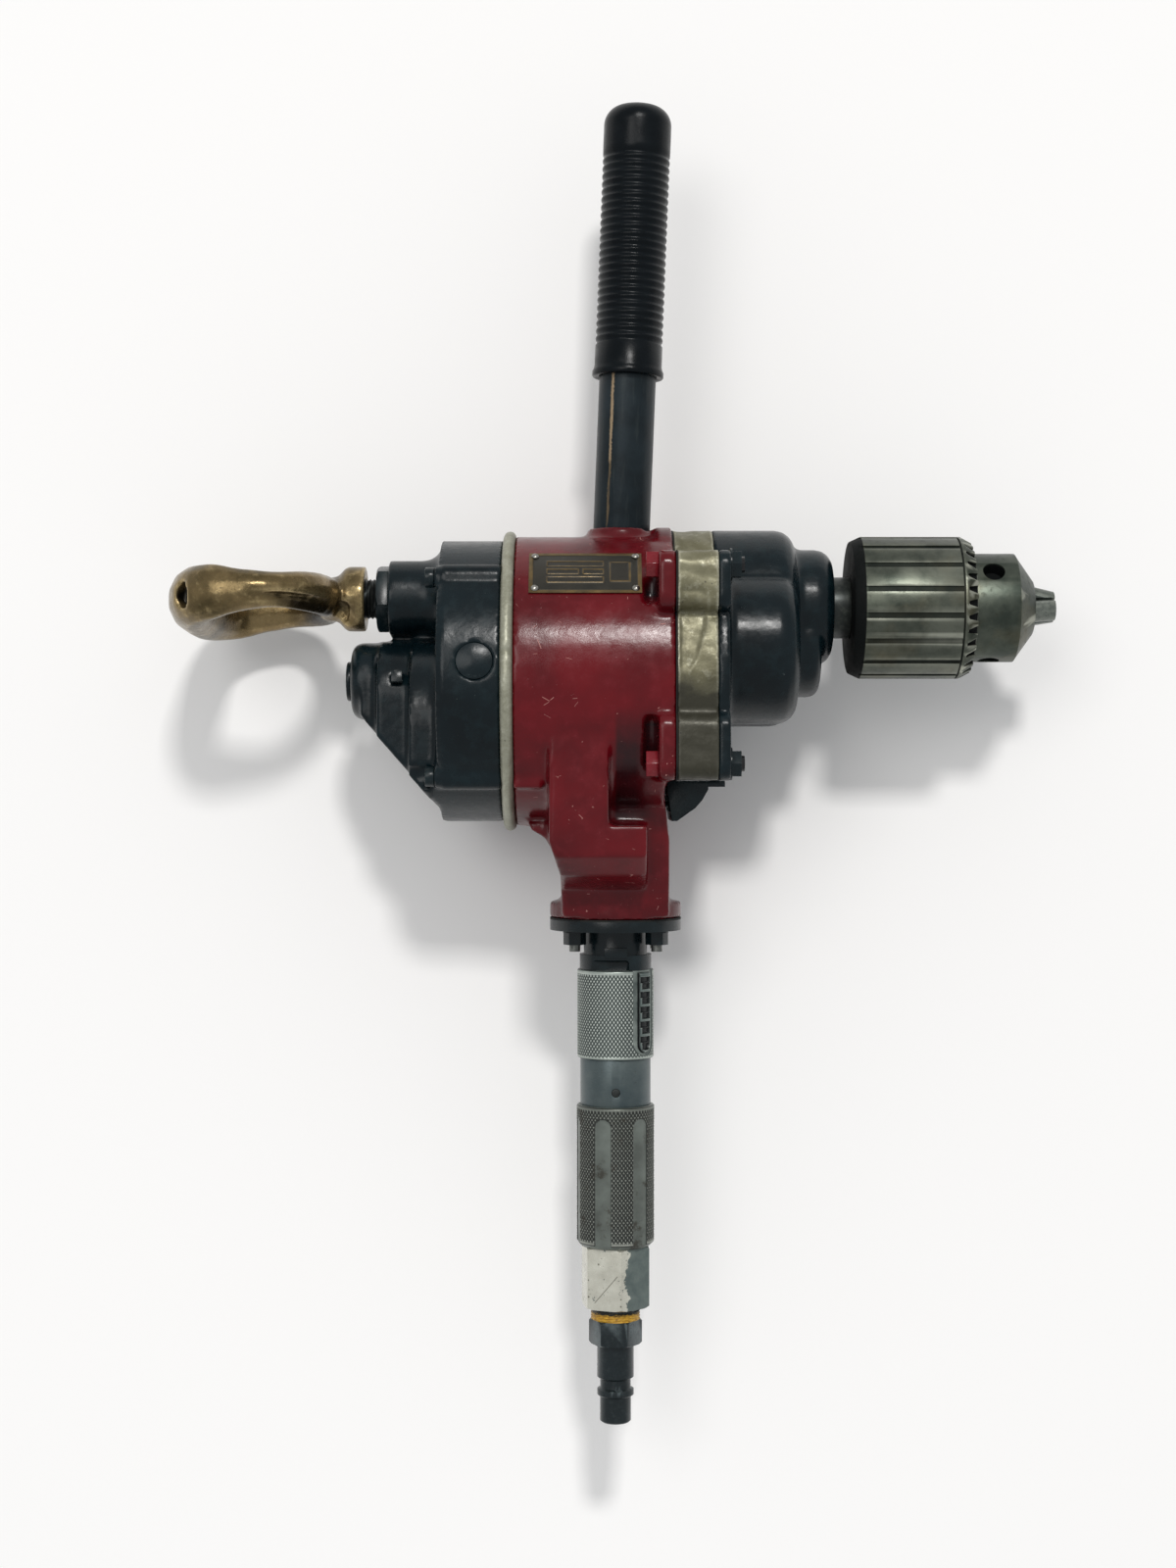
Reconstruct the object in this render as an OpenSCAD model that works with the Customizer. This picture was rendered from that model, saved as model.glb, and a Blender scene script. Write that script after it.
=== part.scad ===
// Air drill with a rotary vane motor, a side throttle handle, a dead handle,
// a spade handle at the rear and a three jaw key chuck. Millimetres.
// It lies on its back: +X points out of the chuck, +Y along the dead handle,
// +Z straight up. The spindle, both side handles and the rotor lie in one level plane.

/* [Axes] */
// Distance from the spindle axis down to the rotor axis
axis_drop = 33.75; // [33:0.25:35]
// Height of the spade handle's stud above the spindle axis
stud_rise = 4.05; // [3:0.05:6]
// Lean of the dead handle towards the chuck, in degrees
handle_lean = 2.3; // [0:0.1:4]

/* [Motor housing] */
// Outer radius of the motor housing
housing_r = 66; // [65:0.5:67]
// Wall of the motor housing round the motor
housing_wall = 8; // [7:0.25:9]
// Length of the housing behind the handle axis
housing_rear = 45.3; // [44:0.1:50]
// Length of the housing ahead of the handle axis
housing_front = 25.5; // [25:0.1:28]
// Thickness of the housing's front flange
flange_t = 7.5; // [6:0.25:8]
// Clear air between two parts that are bolted or pressed together
seat = 0.02; // [0.01:0.01:0.04]
// Running clearance of shafts and sleeves, on the radius
run = 0.05; // [0.03:0.01:0.08]

/* [Front joint outline] */
// How far the bolt ears and the rear rim stand out past the motor housing
rim_proud = 2.6; // [2.4:0.1:3]
// Corner radius of the bolt ears
ear_r = 7; // [4:0.5:8]
// Height of the top of the upper ears above the spindle axis
ear_top = 20.6; // [18:0.1:22]
// Height of the lower edge of the upper ears below the spindle axis
ear_low = 6; // [2:0.5:10]
// Depth of the flat underside below the spindle axis
under_y = 79.4; // [79:0.1:82]
// Height of each lower ear
lower_ear_h = 30; // [26:0.5:34]
// Radius of the joint's arch round the spindle
arch_r = 35.3; // [34:0.1:36]
// Height of the housing's flange above the spacer, over the arch
flange_lip = 1.4; // [1:0.1:2]
// Distance of the bolts from the flat sides of the ears
bolt_in = 11.6; // [11:0.1:12]
// Height of the upper bolts above the spindle axis
bolt_top = 14.6; // [11:0.1:15]
// Depth of the lower bolts below the spindle axis
bolt_low = 72; // [70:0.25:72]
// Shank radius of the joint's bolts
bolt_r = 3.5; // [3:0.25:4]
// Distance across the flats of the bolt heads and nuts
bolt_flats = 11; // [10:0.5:12]
// Height of the bolt heads
bolt_head_h = 5.4; // [4:0.2:6]
// Height of the nuts on the gear case
nut_h = 5; // [4:0.2:6]
// Thickness of the gasket behind the spacer
gasket_t = 0.6; // [0.4:0.1:1]
// Length of the gear spacer
spacer_len = 17.9; // [17:0.1:22]
// Wall of the spacer and of the gear case
gear_wall = 5; // [4:0.25:5.5]

/* [Gear case] */
// Thickness of the gear case's own flange
case_flange_t = 5; // [4:0.25:6]
// Length of the gear case from its flange to its front wall
case_len = 32.5; // [32:0.1:35]
// Radius of the gear case's lower lobe
lobe_r = 34; // [32:0.25:36]
// Edge rounding at the front of the gear case
case_edge = 9; // [5:0.25:11]
// Radius of the bearing boss on the gear case
nose_r = 26.5; // [25:0.25:28]
// Length of the bearing boss ahead of the gear case
nose_len = 17.5; // [16:0.25:19]
// Rounding of the boss's front edge
nose_edge = 8; // [5:0.25:10]
// Radius of the low lobe beside the boss
nose_lobe_r = 25; // [23:0.25:26]
// Length of that lobe ahead of the gear case
nose_lobe_len = 11.5; // [9:0.25:14]
// Length of the cone between the low lobe and the base flange
root_len = 10; // [6:0.5:14]

/* [Rear end plate] */
// Width of the rounded rim that shows between the housing and the rear cover
rim_w = 5.6; // [5:0.1:7]

/* [Rear cover] */
// How far the rear cover's skin lies inside that of the motor housing
cover_inset = 1; // [0.5:0.1:1.5]
// Length of the round base of the rear cover
cover_base = 27.9; // [26:0.1:30]
// Wall of the rear cover
cover_wall = 6; // [5:0.25:7]
// Length of the first step behind the base
step_a = 13.2; // [11:0.1:15]
// Length of the second step
step_b = 15.6; // [14:0.1:17]
// Half width of the first step
step_a_half = 42; // [36:0.5:46]
// Half width of the second step
step_b_half = 27; // [24:0.5:32]
// Radius of the bearing boss
boss_r = 17.6; // [17:0.1:19]
// Length of the bearing boss behind the second step
boss_len = 13; // [12:0.1:15]
// Edge rounding of the bearing boss
boss_edge = 5; // [2:0.25:6]
// Radius of the spade boss
spade_boss_r = 17.5; // [17:0.1:18.5]
// Length of the spade boss behind the base
spade_boss_len = 24.7; // [22:0.1:26]
// Thickness of the cap over the tail bearing
cap_t = 2.4; // [1.5:0.1:4]
// Radius of the cap over the tail bearing
cap_r = 9; // [7:0.25:10]
// Depth of the cover screws' axes below the motor housing's skin
cover_bolt_in = 4; // [3.8:0.1:4.2]
// Radius of the cover's screw bosses
cover_boss_r = 6; // [5.5:0.25:6.5]
// Length of the cover's screw bosses behind the base
cover_boss_len = 1.5; // [1:0.25:4]
// Radius of the round core plug in the cover
core_plug_r = 8; // [6:0.25:9]
// Turn of the core plug from straight up, in degrees
core_plug_turn = 5.5; // [0:0.5:12]
// Distance across the flats of the square oil plug
oil_plug_flats = 5; // [4:0.25:6]

/* [Motor] */
// Wall of the cylinder liner at its middle height
liner_wall = 12; // [11.5:0.25:13]
// Running gap at the ends of the rotor
rotor_end_gap = 0.1; // [0.05:0.01:0.2]
// Distance between the rotor axis and the axis of the liner's bore
eccentricity = 3.9; // [3:0.1:5]
// Least gap between the rotor and the liner
rotor_gap = 0.1; // [0.05:0.01:0.2]
// Number of vanes
vanes = 5; // [4:1:8]
// Thickness of a vane
vane_t = 4; // [3:0.25:5]
// Depth of a vane's slot
vane_slot = 17; // [14:0.25:19]
// Thickness of the front end plate
end_plate_t = 14; // [13:0.25:16]
// Radius of the rotor shaft
shaft_r = 6; // [5.5:0.1:6.5]

/* [Bearings] */
// Outer radius of the two rotor bearings
rotor_bearing_r = 14; // [13.5:0.25:14.5]
// Width of the two rotor bearings
rotor_bearing_w = 8; // [7:0.25:9]
// Outer radius of the spindle bearing
spindle_bearing_r = 23; // [22:0.25:23.5]
// Width of the spindle bearing
spindle_bearing_w = 12; // [10:0.25:13]
// Thickness of the bearing races as a share of the space between shaft and seat
race_share = 0.27; // [0.24:0.01:0.3]
// Balls in each bearing
balls = 8; // [6:1:9]

/* [Gears] */
// Tooth module of both stages
tooth_module = 1; // [0.96:0.01:1.02]
// Pressure angle
pressure_angle = 25; // [23:0.5:27]
// Gap between meshed tooth flanks
backlash = 0.12; // [0.08:0.01:0.2]
// Teeth on the rotor pinion
pinion_a = 12; // [12:1:13]
// Teeth on the intermediate gear
wheel_a = 36; // [35:1:37]
// Teeth on the intermediate pinion
pinion_b = 14; // [14:1:15]
// Teeth on the spindle gear
wheel_b = 42; // [41:1:43]
// Face width of the first pair of gears
face_a = 10; // [8:0.5:11]
// Face width of the second pair of gears
face_b = 13; // [10:0.5:14]

/* [Spindle] */
// Radius of the spindle neck that shows in front of the gear case
neck_r = 14; // [13:0.25:14.5]
// Gap between the gear case and the chuck
neck_len = 8; // [6:0.25:12]
// Radius of the spindle nose inside the chuck
spindle_nose_r = 10; // [9:0.1:10.5]
// Length of the spindle nose inside the chuck
spindle_nose_len = 28; // [24:0.5:30]

/* [Chuck] */
// Outer radius of the chuck sleeve
sleeve_r = 32.5; // [32.3:0.1:34]
// Wall of the chuck sleeve
sleeve_wall = 3.1; // [2.9:0.1:3.2]
// Length of the chuck sleeve
sleeve_len = 55; // [54.5:0.1:56]
// Length of the sleeve's rear chamfer
sleeve_chamfer = 5; // [3:0.25:6]
// Number of raised lands round the sleeve
lands = 17; // [14:1:20]
// Width of the groove between two lands, in degrees
land_gap = 4.6; // [3:0.1:7]
// Depth of the groove between two lands
land_depth = 0.7; // [0.4:0.05:1]
// Number of key teeth on the sleeve's front edge
key_teeth = 31; // [26:1:34]
// Length of the key teeth
key_tooth_len = 6; // [4:0.25:7]
// Radius of the chuck body's nose
chuck_nose_r = 24.8; // [24.6:0.1:25.4]
// Length of the straight part of the chuck's nose
chuck_nose_len = 20; // [18:0.25:22]
// Length of the cone at the front of the chuck
chuck_cone_len = 8.7; // [7:0.1:10]
// Radius of the chuck's mouth
chuck_mouth_r = 11.7; // [11.5:0.1:13]
// Bore that takes the shank, as a radius
shank_r = 9.6; // [9.5:0.1:9.8]
// Distance from the mouth to the jaw tips
jaw_reach = 10.3; // [9:0.1:12]
// Radius of a jaw
jaw_r = 5; // [4.5:0.1:5.1]
// Length of a jaw along the chuck
jaw_len = 52; // [51:0.25:52]
// Slope of the jaws to the chuck's axis, in degrees
jaw_slope = 14; // [13.5:0.1:14]
// Distance from the chuck's axis to the gripping edges at rest
jaw_open = 1; // [0.6:0.1:2]
// Distance of a jaw's own axis from the chuck's axis at the mouth
jaw_mouth_offset = 4.9; // [4.6:0.1:5]
// Turn of the first jaw from straight up, in degrees
jaw_turn = 22; // [0:1:40]
// Radius of the key's pilot holes
pilot_r = 5; // [4:0.1:5.2]
// Depth of the key's pilot holes
pilot_depth = 7; // [5:0.25:8]
// Length of the nut that moves the jaws
nut_len = 7; // [6:0.1:7.4]

/* [Throttle handle] */
// Distance from the spindle axis down to the throttle flange
throttle_y = 141.8; // [140:0.1:146]
// Thickness of the housing's lower flange
trunk_flange_t = 7.5; // [6:0.25:9]
// Radius of the throttle flange
throttle_flange_r = 30; // [29:0.25:32]
// Thickness of the throttle flange
throttle_flange_t = 4.8; // [4:0.1:6]
// Thickness of the gasket on the throttle flange
throttle_gasket_t = 0.8; // [0.4:0.1:1.2]
// Radius of the neck between the flange and the collar
throttle_neck_r = 14.5; // [13.8:0.1:15]
// Length of the neck
throttle_neck_len = 11.2; // [11:0.1:13]
// Radius of the stop collar
stop_collar_r = 16.4; // [16:0.1:17]
// Length of the stop collar
stop_collar_len = 6.8; // [5:0.1:8]
// Radius of the handle's core tube
core_r = 13.5; // [13:0.1:13.6]
// Bore of the core tube at the valve, as a radius
valve_bore_r = 11; // [10.5:0.1:11.3]
// Bore of the core tube past the valve, as a radius
air_bore_r = 9; // [8:0.1:9.5]
// Radius of the throttle sleeve
throttle_r = 17.5; // [17:0.1:18]
// Length of the throttle sleeve
throttle_len = 40.5; // [38:0.1:44]
// Turn of the throttle sleeve from shut to full air, in degrees
throttle_turn = 60; // [40:1:70]
// Radius of the pin that drives the valve
drive_pin_r = 2; // [1.5:0.1:2.2]
// Radius of the smooth collar below the throttle sleeve
collar_r = 16.1; // [15.5:0.1:17]
// Length of the smooth collar
collar_len = 21.6; // [20:0.1:24]
// Radius of the knurled grip
grip_r = 17.8; // [17:0.1:18.5]
// Length of the knurled grip
grip_len = 64.5; // [60:0.1:72]
// Flutes round the knurled grip
flutes = 6; // [4:1:8]
// Width of a flute
flute_w = 7; // [5:0.25:8]
// Corner radius of the inlet hexagon
hex_r = 16.5; // [16:0.1:18]
// Length of the inlet hexagon
hex_len = 28; // [26:0.1:32]
// Turn of the inlet hexagon, in degrees
hex_turn = 21; // [0:1:60]

/* [Air plug] */
// Radius of the plug's pipe thread
pipe_r = 10.7; // [10.4:0.1:11]
// Length of thread left showing, covered in sealant
sealed_len = 6; // [4:0.1:8]
// Corner radius of the plug's hexagon
plug_hex_r = 12.2; // [12:0.1:14]
// Length of the plug's hexagon
plug_hex_len = 11.3; // [9:0.1:13]
// Radius of the plug's shank
plug_shank_r = 8.4; // [8.3:0.1:9]
// Length of the plug's shank
plug_shank_len = 16.2; // [14:0.1:18]
// Radius of the groove that the coupling's balls lock in
plug_groove_r = 7; // [6.6:0.1:7.1]
// Width of that groove
plug_groove_w = 3.9; // [3:0.1:5]
// Width of the ridge ahead of the groove
plug_ridge_w = 4.2; // [3:0.1:5]
// Radius of the plug's tip
plug_tip_r = 7.1; // [6.8:0.1:7.4]
// Length of the plug's tip
plug_tip_len = 11.7; // [10:0.1:13]
// Air passage through the plug, as a radius
plug_bore_r = 4.2; // [3.5:0.1:4.8]

/* [Dead handle] */
// Radius of the dead handle's pipe
pipe_handle_r = 13; // [12.5:0.1:13.4]
// Wall of the dead handle's pipe
pipe_wall = 2.8; // [2:0.1:3.5]
// Distance from the rotor axis to the top of the pipe's boss
handle_boss_top = 69.5; // [69:0.1:73]
// Radius of the pipe's boss
handle_boss_r = 15.4; // [15:0.1:17]
// Distance from the rotor axis to the foot of the rubber grip
rubber_start = 139.5; // [130:0.5:150]
// Length of the rubber grip
rubber_len = 124.5; // [116:0.5:132]
// Radius of the rubber grip
rubber_r = 15.5; // [15.2:0.1:16.5]
// Radius of the lip at the foot of the rubber grip
rubber_lip_r = 16.4; // [16.3:0.1:17.5]
// Number of ribs round the rubber grip
rubber_ribs = 24; // [20:1:28]
// Depth of the grooves between the ribs
rubber_rib_depth = 0.6; // [0.4:0.05:0.9]
// Length of the smooth end of the rubber grip
rubber_cap = 24; // [22:0.5:28]

/* [Spade handle] */
// Radius of the stud
stud_r = 9.25; // [8.8:0.05:9.5]
// Length of stud that shows between the nut and the handle
stud_gap = 5.4; // [4:0.1:8]
// Thickness of the jam nut
jam_nut_t = 5.4; // [4.5:0.1:7]
// Corner radius of the jam nut
jam_nut_r = 16.2; // [15.5:0.1:16.8]
// Radius of the handle's socket
socket_r = 14.85; // [14:0.05:15.5]
// Length of the handle's socket
socket_len = 9.7; // [9:0.1:12]
// Reach of the loop behind the socket, to the middle of the grip
loop_reach = 67; // [62:0.5:72]
// Half the width of the loop, between centre lines
loop_half = 46; // [43:0.5:49]
// Half thickness of the grip bar
bar_half = 11.5; // [10.5:0.25:12]
// Half thickness of the loop's arms, seen from the front
arm_half = 7; // [6:0.25:8]
// Half height of the loop's arms
arm_rise = 9.6; // [8.5:0.1:10.5]
// Drop of the grip bar below the stud's axis
bar_drop = 3; // [0:0.1:5]
// Roll of the loop about the stud, in degrees
loop_roll = 2; // [0:0.5:4]
// Radius of the core holes at the ends of the grip bar
core_hole_r = 4.6; // [3.5:0.1:5]

/* [Name plate] */
// Length of the name plate
plate_len = 49.5; // [46:0.5:51]
// Height of the name plate along its curve, in degrees
plate_arc = 22.8; // [20:0.2:24]
// Thickness of the name plate
plate_t = 0.8; // [0.6:0.1:1.2]
// Turn of the plate's middle from straight up, in degrees
plate_turn = 44.3; // [42:0.1:46]
// Distance from the handle axis to the plate's middle, towards the rear
plate_x = 13.8; // [13:0.1:15]

/* [Exhaust hood] */
// Length of the hood's plate along the drill
hood_plate_len = 27.8; // [26:0.1:29]
// Thickness of the hood's plate
hood_plate_t = 2.7; // [2:0.1:3]
// Half the width of the hood across the drill
hood_half = 26; // [22:0.5:30]
// Depth of the hood below its plate
hood_depth = 15.3; // [13:0.1:17]
// Wall of the hood
hood_wall = 2; // [1.5:0.1:2.5]

/* [Hidden] */
$fn = 96;
eps = 0.01;

// Stations along the drill, from the rear to the front
x_rear = -housing_rear;
x_front = housing_front;
x_rim = x_rear - rim_w;
x_base = x_rim - cover_base;
x_step_a = x_base - step_a;
x_step_b = x_step_a - step_b;
x_boss = x_step_b - boss_len;
x_cap = x_boss - cap_t;
x_spade_boss = x_base - spade_boss_len;
x_jam = x_spade_boss - jam_nut_t;
x_socket = x_jam - stud_gap;
x_loop = x_socket - socket_len;
x_bar = x_loop - loop_reach;
x_spacer = x_front + gasket_t;
x_case = x_spacer + spacer_len;
x_case_body = x_case + case_flange_t;
x_case_front = x_case_body + case_len;
x_nose = x_case_front + nose_len;
x_chuck = x_nose + neck_len;
x_sleeve = x_chuck + sleeve_len;
x_cone = x_sleeve + chuck_nose_len;
x_mouth = x_cone + chuck_cone_len;
x_tip = x_mouth + jaw_reach;

// Heights and turns
rotor_y = -axis_drop;
stage_a = tooth_module * (pinion_a + wheel_a) / 2;
stage_b = tooth_module * (pinion_b + wheel_b) / 2;
idler_up = (pow(stage_a, 2) - pow(stage_b, 2) + pow(axis_drop, 2)) / (2 * axis_drop);
idler_y = rotor_y + idler_up;
idler_z = sqrt(pow(stage_a, 2) - pow(idler_up, 2));
motor_bore = housing_r - housing_wall;
liner_bore = motor_bore - liner_wall;
rotor_r = liner_bore - eccentricity - rotor_gap;
rim_r = housing_r + rim_proud;
bolt_z = rim_r - bolt_in;
cover_r = housing_r - cover_inset;
cover_bolt_r = housing_r - cover_bolt_in;
shaft_neck_r = tooth_module * (pinion_a / 2 - 1.3);

// Stations down the throttle handle
d_gasket = throttle_y;
d_flange = d_gasket + throttle_gasket_t;
d_neck = d_flange + throttle_flange_t;
d_stop = d_neck + throttle_neck_len;
d_sleeve = d_stop + stop_collar_len;
d_collar = d_sleeve + throttle_len;
d_grip = d_collar + collar_len;
d_hex = d_grip + grip_len;
d_seal = d_hex + hex_len;
d_plug = d_seal + sealed_len;
d_shank = d_plug + plug_hex_len;
d_groove = d_shank + plug_shank_len;
d_ridge = d_groove + plug_groove_w;
d_tip = d_ridge + plug_ridge_w;
d_end = d_tip + plug_tip_len;

// The whole drill's box, which puts the origin under its middle
rubber_top = rubber_start + rubber_len;
rubber_end_r = 9;
pipe_foot = motor_bore + 2.5;
pipe_top = rubber_top - rubber_cap + 1.5;
reach_up = rotor_y + (rubber_top - rubber_end_r) * cos(handle_lean)
    + (rubber_r - rubber_end_r) * sin(handle_lean) + rubber_end_r;
loop_sides = 12;
box_mid_x = (x_tip + x_bar - bar_half * cos(180 / loop_sides)) / 2;
box_mid_y = (reach_up - d_end) / 2;
floor_z = -rim_r;

module place() {
    translate([-box_mid_x, -box_mid_y, -floor_z]) children();
}

// Turns a flat outline in Y and Z into a bar from x0 to x1
module bar_x(x0, x1) {
    translate([x0, 0, 0]) rotate([90, 0, 90]) linear_extrude(x1 - x0) children();
}

// Spins an outline of radius and length about an axis along +X that starts at x0
module spin_x(x0, y = 0, z = 0) {
    translate([x0, y, z]) rotate([90, 0, 90]) rotate_extrude() children();
}

// A round bar along X
module rod_x(x0, x1, r, y = 0, z = 0) {
    translate([x0, y, z]) rotate([0, 90, 0]) cylinder(h = x1 - x0, r = r);
}

// A round tube along X
module tube_x(x0, x1, r, bore, y = 0, z = 0) {
    difference() {
        rod_x(x0, x1, r, y, z);
        rod_x(x0 - 1, x1 + 1, bore, y, z);
    }
}

// Spins an outline of radius and depth about the throttle handle's axis
module spin_down() {
    rotate([90, 0, 0]) rotate_extrude() children();
}

// A round bar down the throttle handle, from depth d0 to depth d1
module rod_down(d0, d1, r) {
    translate([0, -d0, 0]) rotate([90, 0, 0]) cylinder(h = d1 - d0, r = r);
}

// A six-sided bar down the throttle handle
module hex_down(d0, d1, r, turn) {
    translate([0, -d0, 0]) rotate([90, 0, 0]) rotate([0, 0, turn]) cylinder(h = d1 - d0, r = r, $fn = 6);
}

// Stands a shape on the dead handle's leaning axis
module on_handle() {
    translate([0, rotor_y, 0]) rotate([0, 0, -handle_lean]) rotate([-90, 0, 0]) children();
}

// A rounded rectangle in Y and Z
module round_box(y0, y1, z0, z1, r) {
    translate([y0 + r, z0]) square([y1 - y0 - 2 * r, z1 - z0]);
    translate([y0, z0 + r]) square([y1 - y0, z1 - z0 - 2 * r]);
    for (y = [y0 + r, y1 - r], z = [z0 + r, z1 - r])
        translate([y, z]) circle(r);
}

// The outline that the housing flange, the spacer and the gear case share
module joint_outline() {
    joint_plate();
    circle(arch_r);
}
module joint_plate() {
    intersection() {
        translate([rotor_y, 0]) circle(housing_r);
        translate([-under_y, -housing_r]) square([under_y + ear_top, 2 * housing_r]);
    }
    round_box(-ear_low, ear_top, -rim_r, rim_r, ear_r);
    round_box(-under_y, lower_ear_h - under_y, -rim_r, rim_r, ear_r);
}

// The hollow inside the spacer and the gear case
module gear_hollow() {
    circle(arch_r - gear_wall);
    translate([idler_y, idler_z]) circle(lobe_r - gear_wall);
    translate([rotor_y, 0]) circle(lobe_r - gear_wall);
}

module at_bolts() {
    for (y = [-bolt_low, bolt_top], z = [-bolt_z, bolt_z])
        translate([0, y, z]) children();
}

cover_screw_r = 2.48;
cover_screw_grip = 8;
module at_cover_screws() {
    for (a = [45, 135, 225, 315])
        translate([0, rotor_y + cover_bolt_r * cos(a), cover_bolt_r * sin(a)]) children();
}

// One gear with involute flanks, its first tooth on the Y axis
function involute(base, a) = let (w = a * PI / 180)
    [base * (cos(a) + w * sin(a)), base * (sin(a) - w * cos(a))];
function roll_to(base, r) = sqrt(max(0, pow(r / base, 2) - 1)) * 180 / PI;
function turned(p, a) = [p[0] * cos(a) - p[1] * sin(a), p[0] * sin(a) + p[1] * cos(a)];
module gear(teeth, width) {
    pitch = tooth_module * teeth / 2;
    base = pitch * cos(pressure_angle);
    tip = pitch + 0.8 * tooth_module;
    root = pitch - 1.05 * tooth_module;
    low = max(base, root);
    half = 90 / teeth - backlash / 2 / pitch * 180 / PI;
    at_pitch = involute(base, roll_to(base, pitch));
    flank_turn = half + atan2(at_pitch[1], at_pitch[0]);
    flank = [for (i = [0:3]) turned(involute(base, roll_to(base, low + (tip - low) * i / 3)), -flank_turn)];
    foot = atan2(-flank[0][1], flank[0][0]);
    points = [for (k = [0:teeth - 1]) let (t = k * 360 / teeth) each concat(
        [turned([root * cos(foot), -root * sin(foot)], t)],
        [for (p = flank) turned(p, t)],
        [for (i = [3:-1:0]) turned([flank[i][0], -flank[i][1]], t)],
        [turned([root * cos(foot), root * sin(foot)], t)])];
    linear_extrude(width) polygon(points);
}
mesh_a = atan2(idler_z, idler_y - rotor_y);
mesh_b = atan2(-idler_z, -idler_y);

// A ball bearing's three kinds of piece, along X from x0
function race_t(bearing_r, bore_r) = (bearing_r - bore_r) * race_share;
function ball_r(bearing_r, bore_r) = (bearing_r - bore_r) / 2 - race_t(bearing_r, bore_r) + 0.9;
module outer_race(x0, w, bearing_r, bore_r, y) {
    difference() {
        tube_x(x0, x0 + w, bearing_r - seat, bearing_r - race_t(bearing_r, bore_r), y);
        race_groove(x0 + w / 2, bearing_r, bore_r, y);
    }
}
module inner_race(x0, w, bearing_r, bore_r, y) {
    difference() {
        tube_x(x0, x0 + w, bore_r + race_t(bearing_r, bore_r), bore_r + seat, y);
        race_groove(x0 + w / 2, bearing_r, bore_r, y);
    }
}
module race_groove(x, bearing_r, bore_r, y) {
    spin_x(x, y) translate([(bearing_r + bore_r) / 2, 0]) circle(ball_r(bearing_r, bore_r) + run);
}
module ball_row(x, bearing_r, bore_r, y) {
    for (k = [0:balls - 1])
        translate([x, y, 0]) rotate([k * 360 / balls, 0, 0])
            translate([0, (bearing_r + bore_r) / 2, 0]) sphere(ball_r(bearing_r, bore_r));
}

// Places of the bearings and gears
x_tail_bearing = x_boss + cover_wall - 1;
x_plate = x_front - end_plate_t;
x_spigot = x_plate + 6;
spigot_r = under_y + rotor_y - gear_wall;
x_front_bearing = x_front - 2 - rotor_bearing_w;
x_gear_a = x_spacer + 3;
x_gear_b = x_case_body + 1;
x_spindle_bearing = x_nose - 6 - spindle_bearing_w;
spindle_journal = neck_r - 0.5;
bush_t = 2.5;
web_t = 2.4;
idler_shaft_r = 5;
idler_rear = x_spacer + gasket_t;
idler_front = x_case_front - gear_wall - 1;

// Motor housing: the red casting round the motor, with the trunk that takes in the air
trunk_half = 33;
rib_rise = housing_r - 4;
rib_x0 = -29.5;
rib_x1 = -3.7;
trunk_x1 = 22.5;
shelf_x1 = 13;
shelf_y = -99;
hood_face_x = trunk_x1 - 1.2;
module trunk_outline() {
    polygon([[rib_x0, rotor_y], [rib_x0, -106], [-24.75, -121], [-24.3, -throttle_y + 1],
        [trunk_x1 + 1, -throttle_y + 1], [trunk_x1 + 1.2, -106], [hood_face_x, -84],
        [hood_face_x, rotor_y]]);
}
module trunk_profile() {
    polygon([[rotor_y, -rib_rise], [-112, 2 - rib_rise], [-121, 12 - rib_rise], [-128, -32],
        [-throttle_y + 1, -28], [-throttle_y + 1, 28], [-128, 32], [-121, rib_rise - 12],
        [-112, rib_rise - 2], [rotor_y, rib_rise]]);
}
module trunk() {
    difference() {
        intersection() {
            translate([0, 0, -housing_r]) linear_extrude(2 * housing_r) trunk_outline();
            bar_x(x_rear, x_front) trunk_profile();
        }
        for (side = [-1, 1]) {
            translate([rib_x1, shelf_y, side * (trunk_half + housing_r) - housing_r])
                cube([housing_r, housing_r, 2 * housing_r]);
            translate([shelf_x1, -throttle_y, side * (trunk_half + housing_r) - housing_r])
                cube([housing_r, throttle_y + shelf_y + eps, 2 * housing_r]);
        }
    }
    intersection() {
        translate([0, 0, -24]) linear_extrude(48)
            polygon([[-39.6, -98], [-38, -101.4], [-32, -105], [-28, -112], [-24, -112], [-20, -98]]);
        bar_x(x_rear + 4, 0) translate([rotor_y, 0]) circle(housing_r + 16);
    }
    for (side = [-1, 1])
        translate([12, -throttle_y + 1, side * 21 - 6]) cube([11.5, 14.6, 12]);
}
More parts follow.
